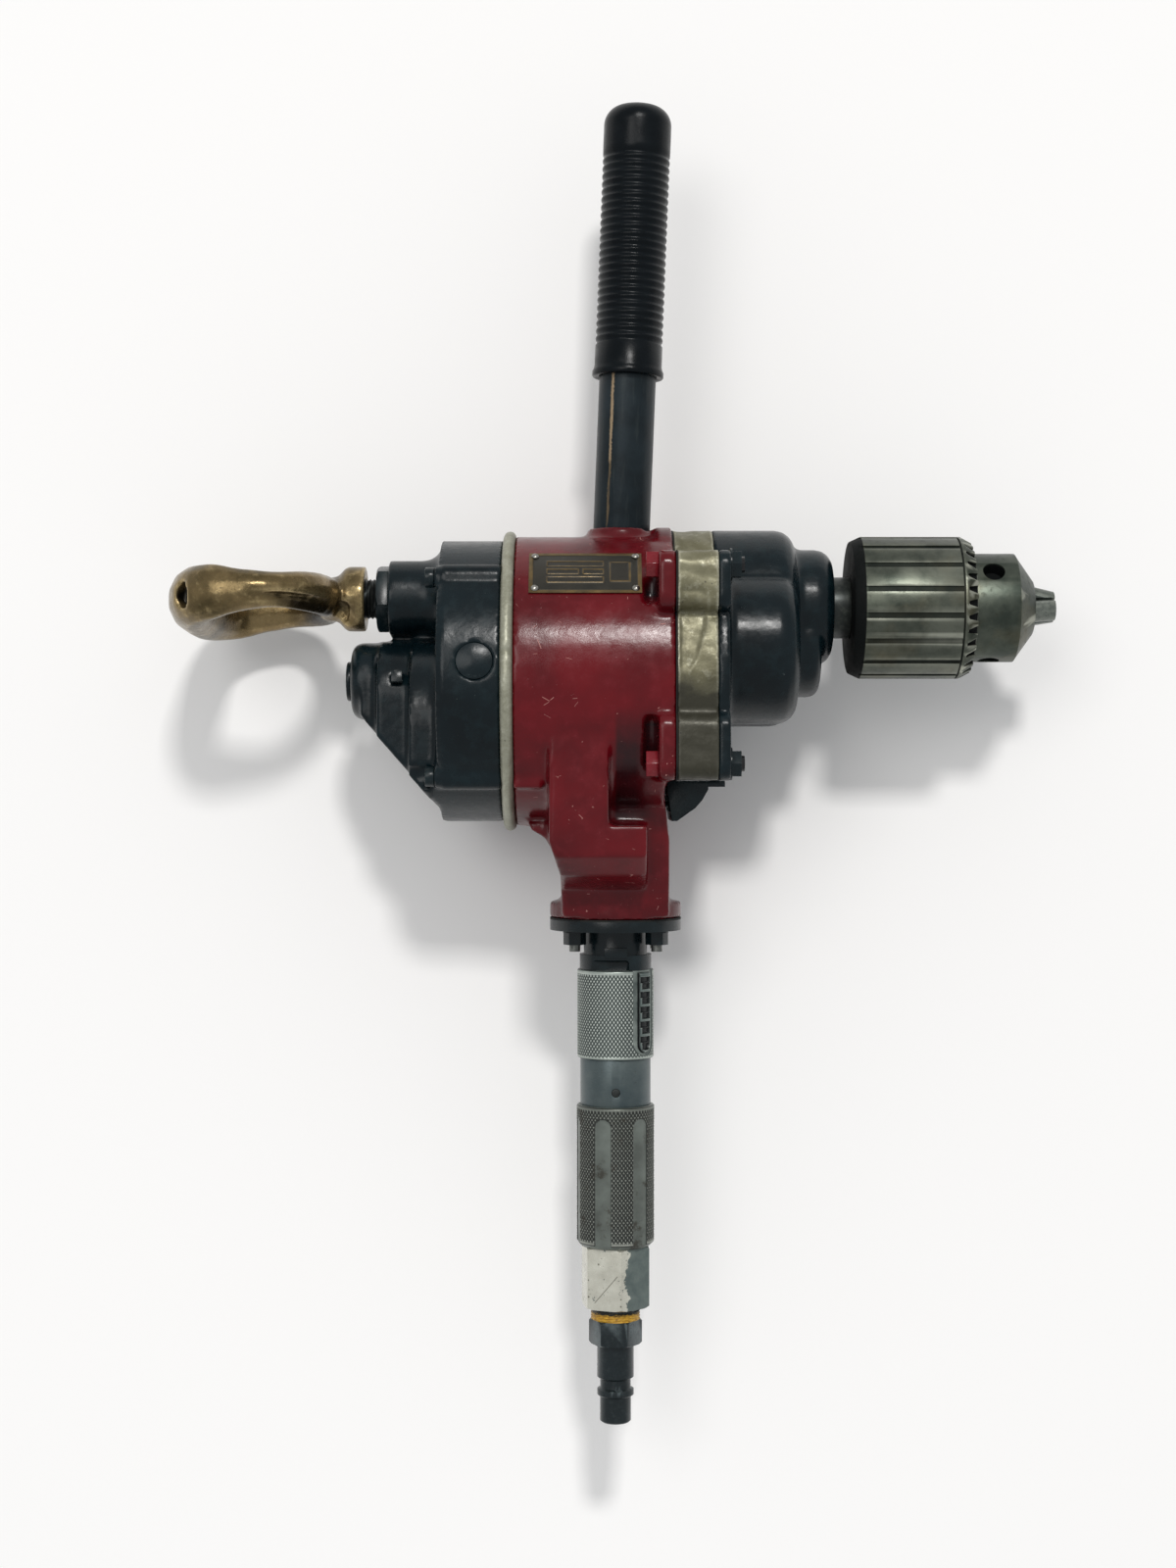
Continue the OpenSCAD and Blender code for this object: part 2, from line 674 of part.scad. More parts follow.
// Pockets in the housing that let a wrench reach the bolt heads
module wrench_pockets() {
    x0 = x_front - flange_t - bolt_head_h - 1;
    difference() {
        for (side = [-1, 1], span = [[bolt_top - 17, bolt_top + 8.5], [-bolt_low - 8.5, -bolt_low + 21]])
            translate([x0, span[0], side * (bolt_z + 12.5) - 20])
                cube([bolt_head_h + 1, span[1] - span[0], 40]);
        rod_x(x0 - 1, x_front, motor_bore + 2.5, rotor_y);
    }
}
module motor_housing() {
    place() color([0.47, 0.09, 0.14]) difference() {
        union() {
            difference() {
                rod_x(x_rear, x_front, housing_r, rotor_y);
                translate([hood_face_x, -under_y - housing_r, -housing_r])
                    cube([housing_r, housing_r, 2 * housing_r]);
            }
            bar_x(x_front - flange_t, x_front) {
                joint_outline();
                circle(arch_r + flange_lip);
            }
            trunk();
            rod_down(throttle_y - trunk_flange_t, throttle_y, throttle_flange_r);
            on_handle() cylinder(h = handle_boss_top, r = handle_boss_r);
            on_handle() rotate_extrude() difference() {
                translate([0, housing_r - 10]) square([handle_boss_r + 9, 11]);
                translate([handle_boss_r + 9, housing_r + 3.5]) circle(9);
            }
            for (side = [-1, 1])
                translate([x_rear, rotor_y - 49, side * 44 - 6]) cube([13, 14, 12]);
        }
        rod_x(x_rear - 1, x_spigot, motor_bore, rotor_y);
        rod_x(x_spigot - 1, x_front + 1, spigot_r, rotor_y);
        rod_down(-rotor_y + motor_bore - 4, throttle_y + 1, valve_bore_r);
        on_handle() translate([0, 0, pipe_foot - seat]) cylinder(h = housing_r, r = pipe_handle_r + seat);
        at_bolts() rod_x(x_front - flange_t - 2, x_front + 1, bolt_r + run);
        hood_screw_rod(seat);
        wrench_pockets();
        at_cover_screws() rod_x(x_rear - 1, x_rear + cover_screw_grip + 1, cover_screw_r + seat);
        at_studs() translate([0, 0, -10]) cylinder(h = 12, r = 2.5 + run);
    }
}

module name_plate() {
    inner = housing_r + eps;
    place() color([0.35, 0.33, 0.25]) intersection() {
        difference() {
            tube_x(-plate_x - plate_len / 2, -plate_x + plate_len / 2, inner + plate_t, inner, rotor_y);
            at_plate_screws() cylinder(h = 3 * plate_t, r = 1.2, center = true);
        }
        translate([0, rotor_y, 0]) bar_x(-plate_x - plate_len / 2, -plate_x + plate_len / 2)
            polygon([[0, 0], for (a = [-plate_arc / 2, plate_arc / 2])
                [80 * sin(plate_turn + a), 80 * cos(plate_turn + a)]]);
    }
}

module at_plate_screws() {
    for (x = [-1, 1], a = [-1, 1])
        translate([-plate_x + x * (plate_len / 2 - 2.6), rotor_y, 0])
            rotate([-plate_turn + a * (plate_arc / 2 - 2.2), 0, 0]) translate([0, 0, housing_r]) children();
}

module plate_screws() {
    place() color([0.75, 0.73, 0.68]) at_plate_screws() translate([0, 0, plate_t + eps]) intersection() {
        translate([0, 0, -1]) sphere(2.05);
        cylinder(h = 2, r = 3);
    }
}

// Rear end plate: closes the motor at the rear, its rounded rim shows
module rear_end_plate() {
    place() color([0.5, 0.48, 0.36]) difference() {
        union() {
            rod_x(x_rim, x_rear, rim_r - rim_w / 2, rotor_y);
            intersection() {
                spin_x(x_rim + rim_w / 2, rotor_y) translate([rim_r - rim_w / 2, 0]) circle(rim_w / 2);
                rod_x(x_rim, x_rear, rim_r + 1, rotor_y);
            }
        }
        rod_x(x_rim - 1, x_rear + 1, shaft_r + 2 + run, rotor_y);
        at_cover_screws() rod_x(x_rim - 1, x_rear + 1, cover_screw_r + seat);
    }
}

// Rear cover: the dark stepped casting behind the motor
step_rise = 0.7;
boss_fillet = 9;
module step_outline(half, rise) {
    translate([rotor_y + boss_r + rise - half, 0]) circle(half);
    translate([rotor_y - cover_r, -half]) square([cover_r + boss_r + rise - half, 2 * half]);
}
module rear_cover() {
    slant_x = x_boss + boss_edge;
    place() color([0.15, 0.2, 0.22]) difference() {
        union() {
            rod_x(x_base, x_rim, cover_r, rotor_y);
            intersection() {
                union() {
                    bar_x(x_step_a, x_base + 1) step_outline(step_a_half, 2 * step_rise);
                    bar_x(x_step_b, x_step_a + 1) step_outline(step_b_half, step_rise);
                    bar_x(x_boss + boss_edge, x_step_b + 1) step_outline(boss_r, 0);
                }
                rod_x(x_boss, x_rim, cover_r - eps, rotor_y);
                translate([0, 0, -cover_r]) linear_extrude(2 * cover_r)
                    polygon([[slant_x, rotor_y + cover_r], [slant_x, rotor_y - boss_r + 2],
                        [slant_x + 3, rotor_y - boss_r - 2], [x_base + 6, rotor_y - cover_r],
                        [x_rim, rotor_y - cover_r], [x_rim, rotor_y + cover_r]]);
            }
            spin_x(x_boss, rotor_y) polygon([[0, 0],
                for (a = [0:22.5:90]) [boss_r - boss_edge * (1 - sin(a)), boss_edge * (1 - cos(a))],
                [boss_r - 1, boss_edge + 1], [0, boss_edge + 1]]);
            rod_x(x_spade_boss, x_rim, spade_boss_r, stud_rise);
            spin_x(x_base, stud_rise) polygon([[0, -boss_fillet],
                for (a = [0:22.5:90]) [spade_boss_r + boss_fillet * (1 - cos(a)), boss_fillet * (sin(a) - 1)],
                [spade_boss_r + boss_fillet, 1], [0, 1]]);
            at_cover_screws() rod_x(x_base - cover_boss_len, x_rim, cover_boss_r);
        }
        difference() {
            rod_x(x_base + cover_wall, x_rim + 1, cover_r - cover_wall, rotor_y);
            at_cover_screws() rod_x(x_base, x_rim + 2, cover_boss_r - 1);
        }
        rod_x(x_tail_bearing, x_base + cover_wall + 1, rotor_bearing_r, rotor_y);
        rod_x(x_boss - 1, x_tail_bearing + 1, cap_r - 1.5, rotor_y);
        rod_x(x_spade_boss - 1, x_base + cover_wall + 1, stud_r + seat, stud_rise);
        at_cover_screws() rod_x(x_base - cover_boss_len - 1, x_rim + 1, cover_screw_r + run);
        core_plug_seat(0);
        oil_plug_seat() oil_plug_solid(seat);
        at_cover_screws() rod_x(x_step_b, x_base - cover_boss_len, cover_screw_r + 3);
    }
}
module core_plug_seat(gap) {
    translate([(x_base + x_rim) / 2 + 3, rotor_y, 0]) rotate([-core_plug_turn, 0, 0])
        translate([0, 0, cover_r - cover_wall - 2]) cylinder(h = cover_wall + 4, r = core_plug_r - gap);
}
module core_plug() {
    place() color([0.17, 0.23, 0.25]) intersection() {
        core_plug_seat(seat);
        tube_x(x_base, x_rim, cover_r + 0.3, cover_r - cover_wall + 1, rotor_y);
    }
}

// The oil plug stands on the flank of the second step
module oil_plug_seat() {
    translate([(x_step_a + x_step_b) / 2 + 1.6, rotor_y, boss_r + 6]) rotate([-12, 0, 0]) children();
}
module oil_plug_solid(gap) {
    side = oil_plug_flats + 2 * gap;
    translate([0, 0, -5 - gap]) cylinder(h = 8, r = 2 + gap);
    translate([-side / 2, -side / 2, 1.7 - gap]) cube([side, side, 4 + 2 * gap]);
}
module oil_plug() {
    place() color([0.14, 0.19, 0.21]) oil_plug_seat() oil_plug_solid(0);
}

module bearing_cap() {
    place() color([0.15, 0.2, 0.22]) union() {
        rod_x(x_cap, x_boss, cap_r, rotor_y);
        rod_x(x_boss - eps, x_boss + 3, cap_r - 1.5 - seat, rotor_y);
    }
}

module cover_screws() {
    head = x_base - cover_boss_len;
    place() color([0.2, 0.25, 0.27]) at_cover_screws() {
        rod_x(head, x_rear + cover_screw_grip, cover_screw_r);
        difference() {
            rod_x(head - 4, head, cover_screw_r + 2);
            rod_x(head - 5, head - 2, cover_screw_r - 0.5);
        }
    }
}

module spade_stud() {
    place() color([0.16, 0.18, 0.18]) rod_x(x_socket - socket_len - 1, x_base + 1, stud_r, stud_rise);
}

module jam_nut() {
    place() color([0.2, 0.25, 0.24]) translate([x_jam, stud_rise, 0]) rotate([0, 90, 0]) intersection() {
        difference() {
            rotate([0, 0, 13]) cylinder(h = jam_nut_t, r = jam_nut_r, $fn = 6);
            translate([0, 0, -1]) cylinder(h = jam_nut_t + 2, r = stud_r + seat);
        }
        rotate_extrude() polygon([[0, 0], [jam_nut_r - 1.8, 0], [jam_nut_r, 1], [jam_nut_r, jam_nut_t],
            [0, jam_nut_t]]);
    }
}

// Spade handle: a cast loop that screws on the stud, its far side is the grip bar
loop_steps = 40;
function arm_power(t) = abs(t - 180) < 90 ? 3.4 : 2.2;
function spow(v, p) = sign(v) * pow(abs(v), p);
function loop_point(t) = [arm_half + (loop_reach - arm_half) / 2 * (1 - spow(cos(t), 2 / arm_power(t))),
    loop_half * spow(sin(t), 2 / arm_power(t))];
function bar_share(t) = pow(sin(t / 2), 6);
function loop_ring(t) = let (
        p = loop_point(t), d = loop_point(t + 1) - loop_point(t - 1), n = [d[1], -d[0]] / norm(d),
        flat = arm_half + (bar_half - arm_half) * bar_share(t),
        high = arm_rise + (bar_half - arm_rise) * bar_share(t))
    [for (k = [0:loop_sides - 1]) let (a = (k + 0.5) * 360 / loop_sides)
        [x_loop - p[0] - n[0] * flat * cos(a),
         -bar_drop * pow(p[0] / loop_reach, 2) + high * sin(a),
         p[1] + n[1] * flat * cos(a)]];
module loop_bar() {
    points = [for (i = [0:loop_steps - 1]) each loop_ring(i * 360 / loop_steps)];
    faces = [for (i = [0:loop_steps - 1], k = [0:loop_sides - 1])
        let (a = i * loop_sides, b = ((i + 1) % loop_steps) * loop_sides, m = (k + 1) % loop_sides)
        each [[a + k, b + m, b + k], [a + k, a + m, b + m]]];
    polyhedron(points, faces);
}
module spade_handle() {
    place() color([0.55, 0.43, 0.25]) translate([0, stud_rise, 0]) rotate([-loop_roll, 0, 0]) difference() {
        union() {
            loop_bar();
            spin_x(x_loop - 11) polygon([[0, 0], [9.5, 0], [10.5, 8], [socket_r - 1, 11], [socket_r, 12.5],
                [socket_r, 11 + socket_len], [0, 11 + socket_len]]);
        }
        rod_x(x_loop - 2, x_socket + 1, stud_r + run);
        for (side = [-1, 1])
            translate([x_bar + 3, -bar_drop, side * (loop_half - 6)]) rotate([0, -side * 50, 0])
                scale([1, 1, side]) cylinder(h = 30, r = core_hole_r);
    }
}

// Motor pieces inside the housing
module cylinder_liner() {
    place() color([0.55, 0.56, 0.55]) difference() {
        rod_x(x_rear, x_plate, motor_bore - seat, rotor_y);
        rod_x(x_rear - 1, x_plate + 1, liner_bore, rotor_y - eccentricity);
        rod_down(-rotor_y + 30, -rotor_y + motor_bore + 4, valve_bore_r - 3);
    }
}

module front_end_plate() {
    place() color([0.5, 0.52, 0.5]) difference() {
        union() {
            rod_x(x_plate, x_spigot - seat, motor_bore - seat, rotor_y);
            rod_x(x_plate, x_front, spigot_r - seat, rotor_y);
        }
        rod_x(x_front_bearing, x_front + 1, rotor_bearing_r, rotor_y);
        rod_x(x_plate - 1, x_front + 1, shaft_r + 2 + run, rotor_y);
        for (a = [150, 180, 210])
            translate([0, rotor_y + (spigot_r - 8) * cos(a), (spigot_r - 8) * sin(a)])
                rod_x(x_plate - 1, x_front + 1, 5);
    }
}

module tail_bearing_outer() {
    place() color([0.7, 0.7, 0.7])
        outer_race(x_tail_bearing, rotor_bearing_w, rotor_bearing_r, shaft_r, rotor_y);
}
module tail_bearing_inner() {
    place() color([0.7, 0.7, 0.7])
        inner_race(x_tail_bearing, rotor_bearing_w, rotor_bearing_r, shaft_r, rotor_y);
}
module front_bearing_outer() {
    place() color([0.7, 0.7, 0.7])
        outer_race(x_front_bearing, rotor_bearing_w, rotor_bearing_r, shaft_r, rotor_y);
}
module front_bearing_inner() {
    place() color([0.7, 0.7, 0.7])
        inner_race(x_front_bearing, rotor_bearing_w, rotor_bearing_r, shaft_r, rotor_y);
}
module spindle_bearing_outer() {
    place() color([0.7, 0.7, 0.7])
        outer_race(x_spindle_bearing, spindle_bearing_w, spindle_bearing_r, spindle_journal, 0);
}
module spindle_bearing_inner() {
    place() color([0.7, 0.7, 0.7])
        inner_race(x_spindle_bearing, spindle_bearing_w, spindle_bearing_r, spindle_journal, 0);
}
module bearing_balls() {
    place() color([0.8, 0.8, 0.8]) {
        ball_row(x_tail_bearing + rotor_bearing_w / 2, rotor_bearing_r, shaft_r, rotor_y);
        ball_row(x_front_bearing + rotor_bearing_w / 2, rotor_bearing_r, shaft_r, rotor_y);
        ball_row(x_spindle_bearing + spindle_bearing_w / 2, spindle_bearing_r, spindle_journal, 0);
    }
}

// Rotor with its shaft and pinion in one piece, slotted for the vanes
module rotor_slots(width, r0) {
    for (k = [0:vanes - 1])
        translate([0, rotor_y, 0]) rotate([k * 360 / vanes, 0, 0])
            translate([x_rear, r0, -width / 2]) cube([x_plate - x_rear, rotor_r - r0 + 1, width]);
}
module rotor() {
    place() color([0.6, 0.61, 0.6]) {
        difference() {
            rod_x(x_rear + rotor_end_gap, x_plate - rotor_end_gap, rotor_r, rotor_y);
            rotor_slots(vane_t + 2 * run, rotor_r - vane_slot);
        }
        rod_x(x_tail_bearing + rotor_bearing_w, x_rear + rotor_end_gap + eps, shaft_r + 2, rotor_y);
        rod_x(x_plate - rotor_end_gap - eps, x_front_bearing, shaft_r + 2, rotor_y);
        rod_x(x_tail_bearing - 0.5, x_tail_bearing + rotor_bearing_w + eps, shaft_r, rotor_y);
        rod_x(x_front_bearing - eps, x_front - 1, shaft_r, rotor_y);
        rod_x(x_front - 1 - eps, x_gear_a + eps, shaft_neck_r, rotor_y);
        translate([x_gear_a, rotor_y, 0]) rotate([90, 0, 90]) rotate([0, 0, mesh_a]) gear(pinion_a, face_a);
    }
}
module rotor_vanes() {
    place() color([0.4, 0.3, 0.2]) intersection() {
        rotor_slots(vane_t, rotor_r - vane_slot + 0.5);
        rod_x(x_rear + rotor_end_gap, x_plate - rotor_end_gap, rotor_r - run, rotor_y);
    }
}

// Gear train between the rotor and the spindle
module flange_gasket() {
    place() color([0.1, 0.1, 0.1]) difference() {
        bar_x(x_front, x_spacer) joint_outline();
        bar_x(x_front - 1, x_spacer + 1) gear_hollow();
        at_bolts() rod_x(x_front - 1, x_spacer + 1, bolt_r + run);
    }
}

module gear_spacer() {
    bush = idler_shaft_r + bush_t;
    place() color([0.5, 0.48, 0.35]) difference() {
        bar_x(x_spacer, x_case) joint_outline();
        difference() {
            bar_x(x_spacer - 1, x_case + 1) gear_hollow();
            bar_x(x_spacer, x_spacer + web_t) {
                translate([idler_y, idler_z]) circle(bush + 4);
                translate([idler_y - bush, idler_z]) square([2 * bush, lobe_r]);
            }
        }
        rod_x(x_spacer - 1, x_case, bush + seat, idler_y, idler_z);
        at_bolts() rod_x(x_spacer - 1, x_case + 1, bolt_r + run);
        translate([x_spacer + 4, -under_y - 1, -14]) cube([spacer_len - 8, under_y + rotor_y - 20, 28]);
    }
}

module gear_case() {
    bush = idler_shaft_r + bush_t;
    place() color([0.15, 0.2, 0.22]) difference() {
        union() {
            bar_x(x_case, x_case_body) joint_plate();
            spin_x(x_case) rounded_end(arch_r, case_flange_t + case_len, case_edge);
            for (side = [-1, 1])
                spin_x(x_case_body - 1, idler_y, side * idler_z)
                    rounded_end(lobe_r, case_len + 0.6, case_edge);
            translate([x_case_body - 1, idler_y, 0]) rotate([0, 90, 0])
                cylinder(h = root_len + 1, r1 = lobe_r + root_len / 2, r2 = lobe_r - 6);
            spin_x(x_case_front - 2) rounded_end(nose_r, nose_len + 2, nose_edge);
            spin_x(x_case_front - 2, idler_y + 4)
                rounded_end(nose_lobe_r, nose_lobe_len + 2, nose_edge - 3);
        }
        bar_x(x_case - 1, x_case_front - gear_wall) gear_hollow_case();
        rod_x(x_case_front - gear_wall - 1, x_spindle_bearing + spindle_bearing_w, spindle_bearing_r, 0);
        rod_x(x_spindle_bearing, x_nose + 1, neck_r + 4, 0);
        rod_x(idler_front - 8, idler_front + 1, bush + seat, idler_y, idler_z);
        at_bolts() rod_x(x_case - 1, x_case_body + 1, bolt_r + run);
    }
    // the post that carries the front end of the intermediate shaft
    place() color([0.15, 0.2, 0.22]) tube_x(x_case_front - gear_wall - 6, x_case_front - gear_wall + eps,
        bush + 2.5, bush + seat, idler_y, idler_z);
}
module gear_hollow_case() {
    circle(arch_r - gear_wall);
    translate([idler_y, idler_z]) circle(lobe_r - gear_wall);
}
// Half outline of a round post with a rounded front edge
module rounded_end(r, h, edge) {
    polygon([[0, 0], [r, 0],
        for (a = [0:22.5:90]) [r - edge + edge * cos(a), h - edge + edge * sin(a)], [0, h]]);
}

module housing_bolts() {
    end = x_case_body + nut_h + 1.5;
    place() color([0.5, 0.12, 0.17]) at_bolts() {
        rod_x(x_front - flange_t - eps, end, bolt_r);
        translate([x_front - flange_t - bolt_head_h, 0, 0]) rotate([0, 90, 0])
            cylinder(h = bolt_head_h, r = bolt_flats / sqrt(3), $fn = 6);
    }
}

module case_nuts() {
    place() color([0.14, 0.18, 0.2]) at_bolts() translate([x_case_body, 0, 0])
        rotate([0, 90, 0]) difference() {
        union() {
            cylinder(h = 1, r = bolt_flats / sqrt(3) + 0.8);
            cylinder(h = nut_h, r = bolt_flats / sqrt(3), $fn = 6);
        }
        translate([0, 0, -1]) cylinder(h = nut_h + 2, r = bolt_r + seat);
    }
}

module intermediate_shaft() {
    place() color([0.62, 0.62, 0.62]) {
        rod_x(idler_rear, x_gear_b + eps, idler_shaft_r, idler_y, idler_z);
        rod_x(x_gear_b + face_b - eps, idler_front, idler_shaft_r, idler_y, idler_z);
        translate([x_gear_b, idler_y, idler_z]) rotate([90, 0, 90]) rotate([0, 0, mesh_b])
            gear(pinion_b, face_b);
    }
}

module intermediate_gear() {
    place() color([0.58, 0.58, 0.58]) difference() {
        translate([x_gear_a, idler_y, idler_z]) rotate([90, 0, 90])
            rotate([0, 0, mesh_a + 180 + 180 / wheel_a]) gear(wheel_a, face_a);
        rod_x(x_gear_a - 1, x_gear_a + face_a + 1, idler_shaft_r + seat, idler_y, idler_z);
    }
}

module bronze_bushes() {
    bush = idler_shaft_r + bush_t;
    place() color([0.6, 0.45, 0.25]) {
        tube_x(idler_rear, x_spacer + web_t, bush, idler_shaft_r + run, idler_y, idler_z);
        tube_x(idler_front - 7, idler_front, bush, idler_shaft_r + run, idler_y, idler_z);
    }
}

module spindle() {
    place() color([0.3, 0.33, 0.33]) {
        rod_x(x_case_body, x_spindle_bearing, spindle_journal - 2);
        rod_x(x_spindle_bearing - eps, x_spindle_bearing + spindle_bearing_w + eps, spindle_journal);
        rod_x(x_spindle_bearing + spindle_bearing_w, x_chuck, neck_r);
        rod_x(x_chuck - eps, x_chuck + spindle_nose_len, spindle_nose_r);
    }
}

module spindle_gear() {
    place() color([0.6, 0.6, 0.6]) difference() {
        translate([x_gear_b, 0, 0]) rotate([90, 0, 90])
            rotate([0, 0, mesh_b + 180 + 180 / wheel_b]) gear(wheel_b, face_b);
        rod_x(x_gear_b - 1, x_gear_b + face_b + 1, spindle_journal - 2 + seat);
    }
}

module spindle_seal() {
    place() color([0.12, 0.12, 0.12])
        tube_x(x_spindle_bearing + spindle_bearing_w + 0.5, x_nose - 0.5, neck_r + 4 - seat, neck_r + 0.3);
}

// Chuck: jaws slide in sloping bores, a nut inside the sleeve drives them
tan_slope = tan(jaw_slope);
front_wall = key_tooth_len - 0.8;
x_nut = x_sleeve - front_wall - 0.3 - nut_len;
function jaw_axis_r(x) = jaw_mouth_offset + (x_mouth - x) * tan_slope;
module at_jaws() {
    for (k = [0:2]) rotate([jaw_turn + k * 120, 0, 0]) children();
}
module jaw_rod(x0, x1, r) {
    translate([x0, 0, jaw_axis_r(x0)]) rotate([0, 90 + jaw_slope, 0])
        cylinder(h = (x1 - x0) / cos(jaw_slope), r = r);
}
module chuck_body() {
    nut_gap = 0.3;
    nose = chuck_nose_len + front_wall + 0.3 - nut_gap;
    bore_floor = sqrt(pow(shank_r, 2) - pow(jaw_r + run, 2)) - 0.5;
    place() color([0.43, 0.45, 0.42]) difference() {
        union() {
            rod_x(x_chuck, x_chuck + 4, sleeve_r - sleeve_wall - run);
            rod_x(x_chuck + 3, x_nut - nut_gap, chuck_nose_r - 1);
            rod_x(x_nut - nut_gap - eps, x_sleeve, jaw_axis_r(x_nut) + 2);
            spin_x(x_cone - nose) polygon([[0, 0], [chuck_nose_r, 0], [chuck_nose_r, nose],
                [chuck_nose_r - 1.5, nose + 1], [chuck_mouth_r + 1, nose + chuck_cone_len],
                [0, nose + chuck_cone_len]]);
        }
        rod_x(x_chuck - 1, x_chuck + spindle_nose_len + 0.5, spindle_nose_r + seat);
        rod_x(x_chuck + spindle_nose_len + 6, x_mouth + 1, shank_r);
        at_jaws() intersection() {
            jaw_rod(x_chuck + 5.5, x_mouth + 8, jaw_r + run);
            translate([x_chuck, -2 * jaw_r, bore_floor])
                cube([x_mouth - x_chuck + 9, 4 * jaw_r, sleeve_r]);
        }
        for (k = [0:2]) rotate([jaw_turn + 60 + k * 120, 0, 0])
            translate([x_sleeve + 8.5, 0, chuck_nose_r - pilot_depth])
                cylinder(h = pilot_depth + 2, r = pilot_r);
    }
}

module chuck_sleeve() {
    inner = sleeve_r - sleeve_wall;
    groove_w = 2 * sleeve_r * sin(land_gap / 2);
    ring_w = 0.9;
    x_ring = x_sleeve - key_tooth_len;
    tooth_fall = 29;
    tooth_depth = 2.1;
    tooth_gap = 0.76 * PI * sleeve_r / key_teeth;
    place() color([0.45, 0.47, 0.44]) difference() {
        spin_x(x_chuck) polygon([[inner, 0], [inner + 0.8, 0], [sleeve_r, sleeve_chamfer],
            [sleeve_r, sleeve_len - 0.8 * key_tooth_len], [sleeve_r - 2.6, sleeve_len],
            [chuck_nose_r + run, sleeve_len], [chuck_nose_r + run, sleeve_len - front_wall],
            [inner, sleeve_len - front_wall]]);
        for (k = [0:lands - 1]) rotate([k * 360 / lands + 10, 0, 0])
            translate([x_chuck + 1, -groove_w / 2, sleeve_r - land_depth])
                cube([x_ring - ring_w / 2 - x_chuck - 1, groove_w, 3]);
        spin_x(x_ring - ring_w) translate([sleeve_r - land_depth - 0.2, 0]) square([3, ring_w]);
        for (k = [0:key_teeth - 1]) rotate([k * 360 / key_teeth, 0, 0])
            translate([x_ring + 1.2, 0, sleeve_r - tooth_depth]) rotate([0, tooth_fall, 0])
                linear_extrude(8)
                    polygon([[-0.8, -0.4], [-0.3, -0.9], [key_tooth_len + 1, -tooth_gap],
                        [key_tooth_len + 1, tooth_gap], [-0.3, 0.9], [-0.8, 0.4]]);
    }
}

module chuck_nut() {
    bite = jaw_r / cos(jaw_slope) + 0.3;
    place() color([0.4, 0.42, 0.4]) spin_x(x_nut) polygon([[jaw_axis_r(x_nut) + bite, 0],
        [sleeve_r - sleeve_wall - seat, 0], [sleeve_r - sleeve_wall - seat, nut_len],
        [jaw_axis_r(x_nut + nut_len) + bite, nut_len]]);
}

// One jaw: a sloping rod whose front is cut to a wedge that grips along the axis
module jaw(k) {
    place() color([0.42, 0.44, 0.42]) rotate([jaw_turn + k * 120, 0, 0]) intersection() {
        jaw_rod(x_tip - jaw_len, x_tip + 12, jaw_r);
        bar_x(x_tip - jaw_len, x_tip) polygon([[0, jaw_open], [40 * sin(60), jaw_open + 40 * cos(60)],
            [0, 60], [-40 * sin(60), jaw_open + 40 * cos(60)]]);
    }
}
module jaw_1() jaw(0);
module jaw_2() jaw(1);
module jaw_3() jaw(2);

// Hood that turns the exhaust away, screwed under the spacer
hood_screw_r = 1.4;
module hood_screw_rod(gap) {
    rod_x(trunk_x1 - 5 - gap, x_front - flange_t + 8 + gap, hood_screw_r + gap, -under_y - hood_plate_t - 8);
}
module exhaust_hood() {
    x0 = x_front - flange_t + 5;
    y0 = -under_y - hood_plate_t;
    inside = hood_half - hood_wall;
    mouth = inside - hood_screw_r - hood_wall;
    place() color([0.12, 0.16, 0.17]) difference() {
        union() {
            translate([x0, y0, -hood_half]) cube([hood_plate_len - 2, hood_plate_t, 2 * hood_half]);
            translate([0, 0, -hood_half]) linear_extrude(2 * hood_half)
                polygon([[x0, y0 + 1], [x0 + 18.4, y0 + 1], [x0 + 18.4, y0 - 1], [x0 + 15.6, y0 - 6],
                    [x0 + 12.5, y0 - 9.5], [x0 + 4.4, y0 - hood_depth], [x0 + 2, y0 - hood_depth],
                    [x0, y0 - 2]]);
        }
        translate([0, 0, -inside]) linear_extrude(2 * inside)
            polygon([[x0 + hood_wall + 1.4, y0], [x0 + 16, y0], [x0 + 14, y0 - 4.6],
                [x0 + 11, y0 - 8], [x0 + hood_wall + 3, y0 - hood_depth + 2.4]]);
        translate([x0 + 4, y0 - 1, -14]) cube([11, hood_plate_t + 2, 28]);
        for (z = [-inside, inside - mouth])
            translate([x0 - 1, y0 - hood_depth + 4, z]) cube([hood_wall + 4, hood_depth - 8, mouth]);
        hood_screw_rod(seat);
    }
}
module hood_screw() {
    place() color([0.1, 0.12, 0.13]) hood_screw_rod(0);
}

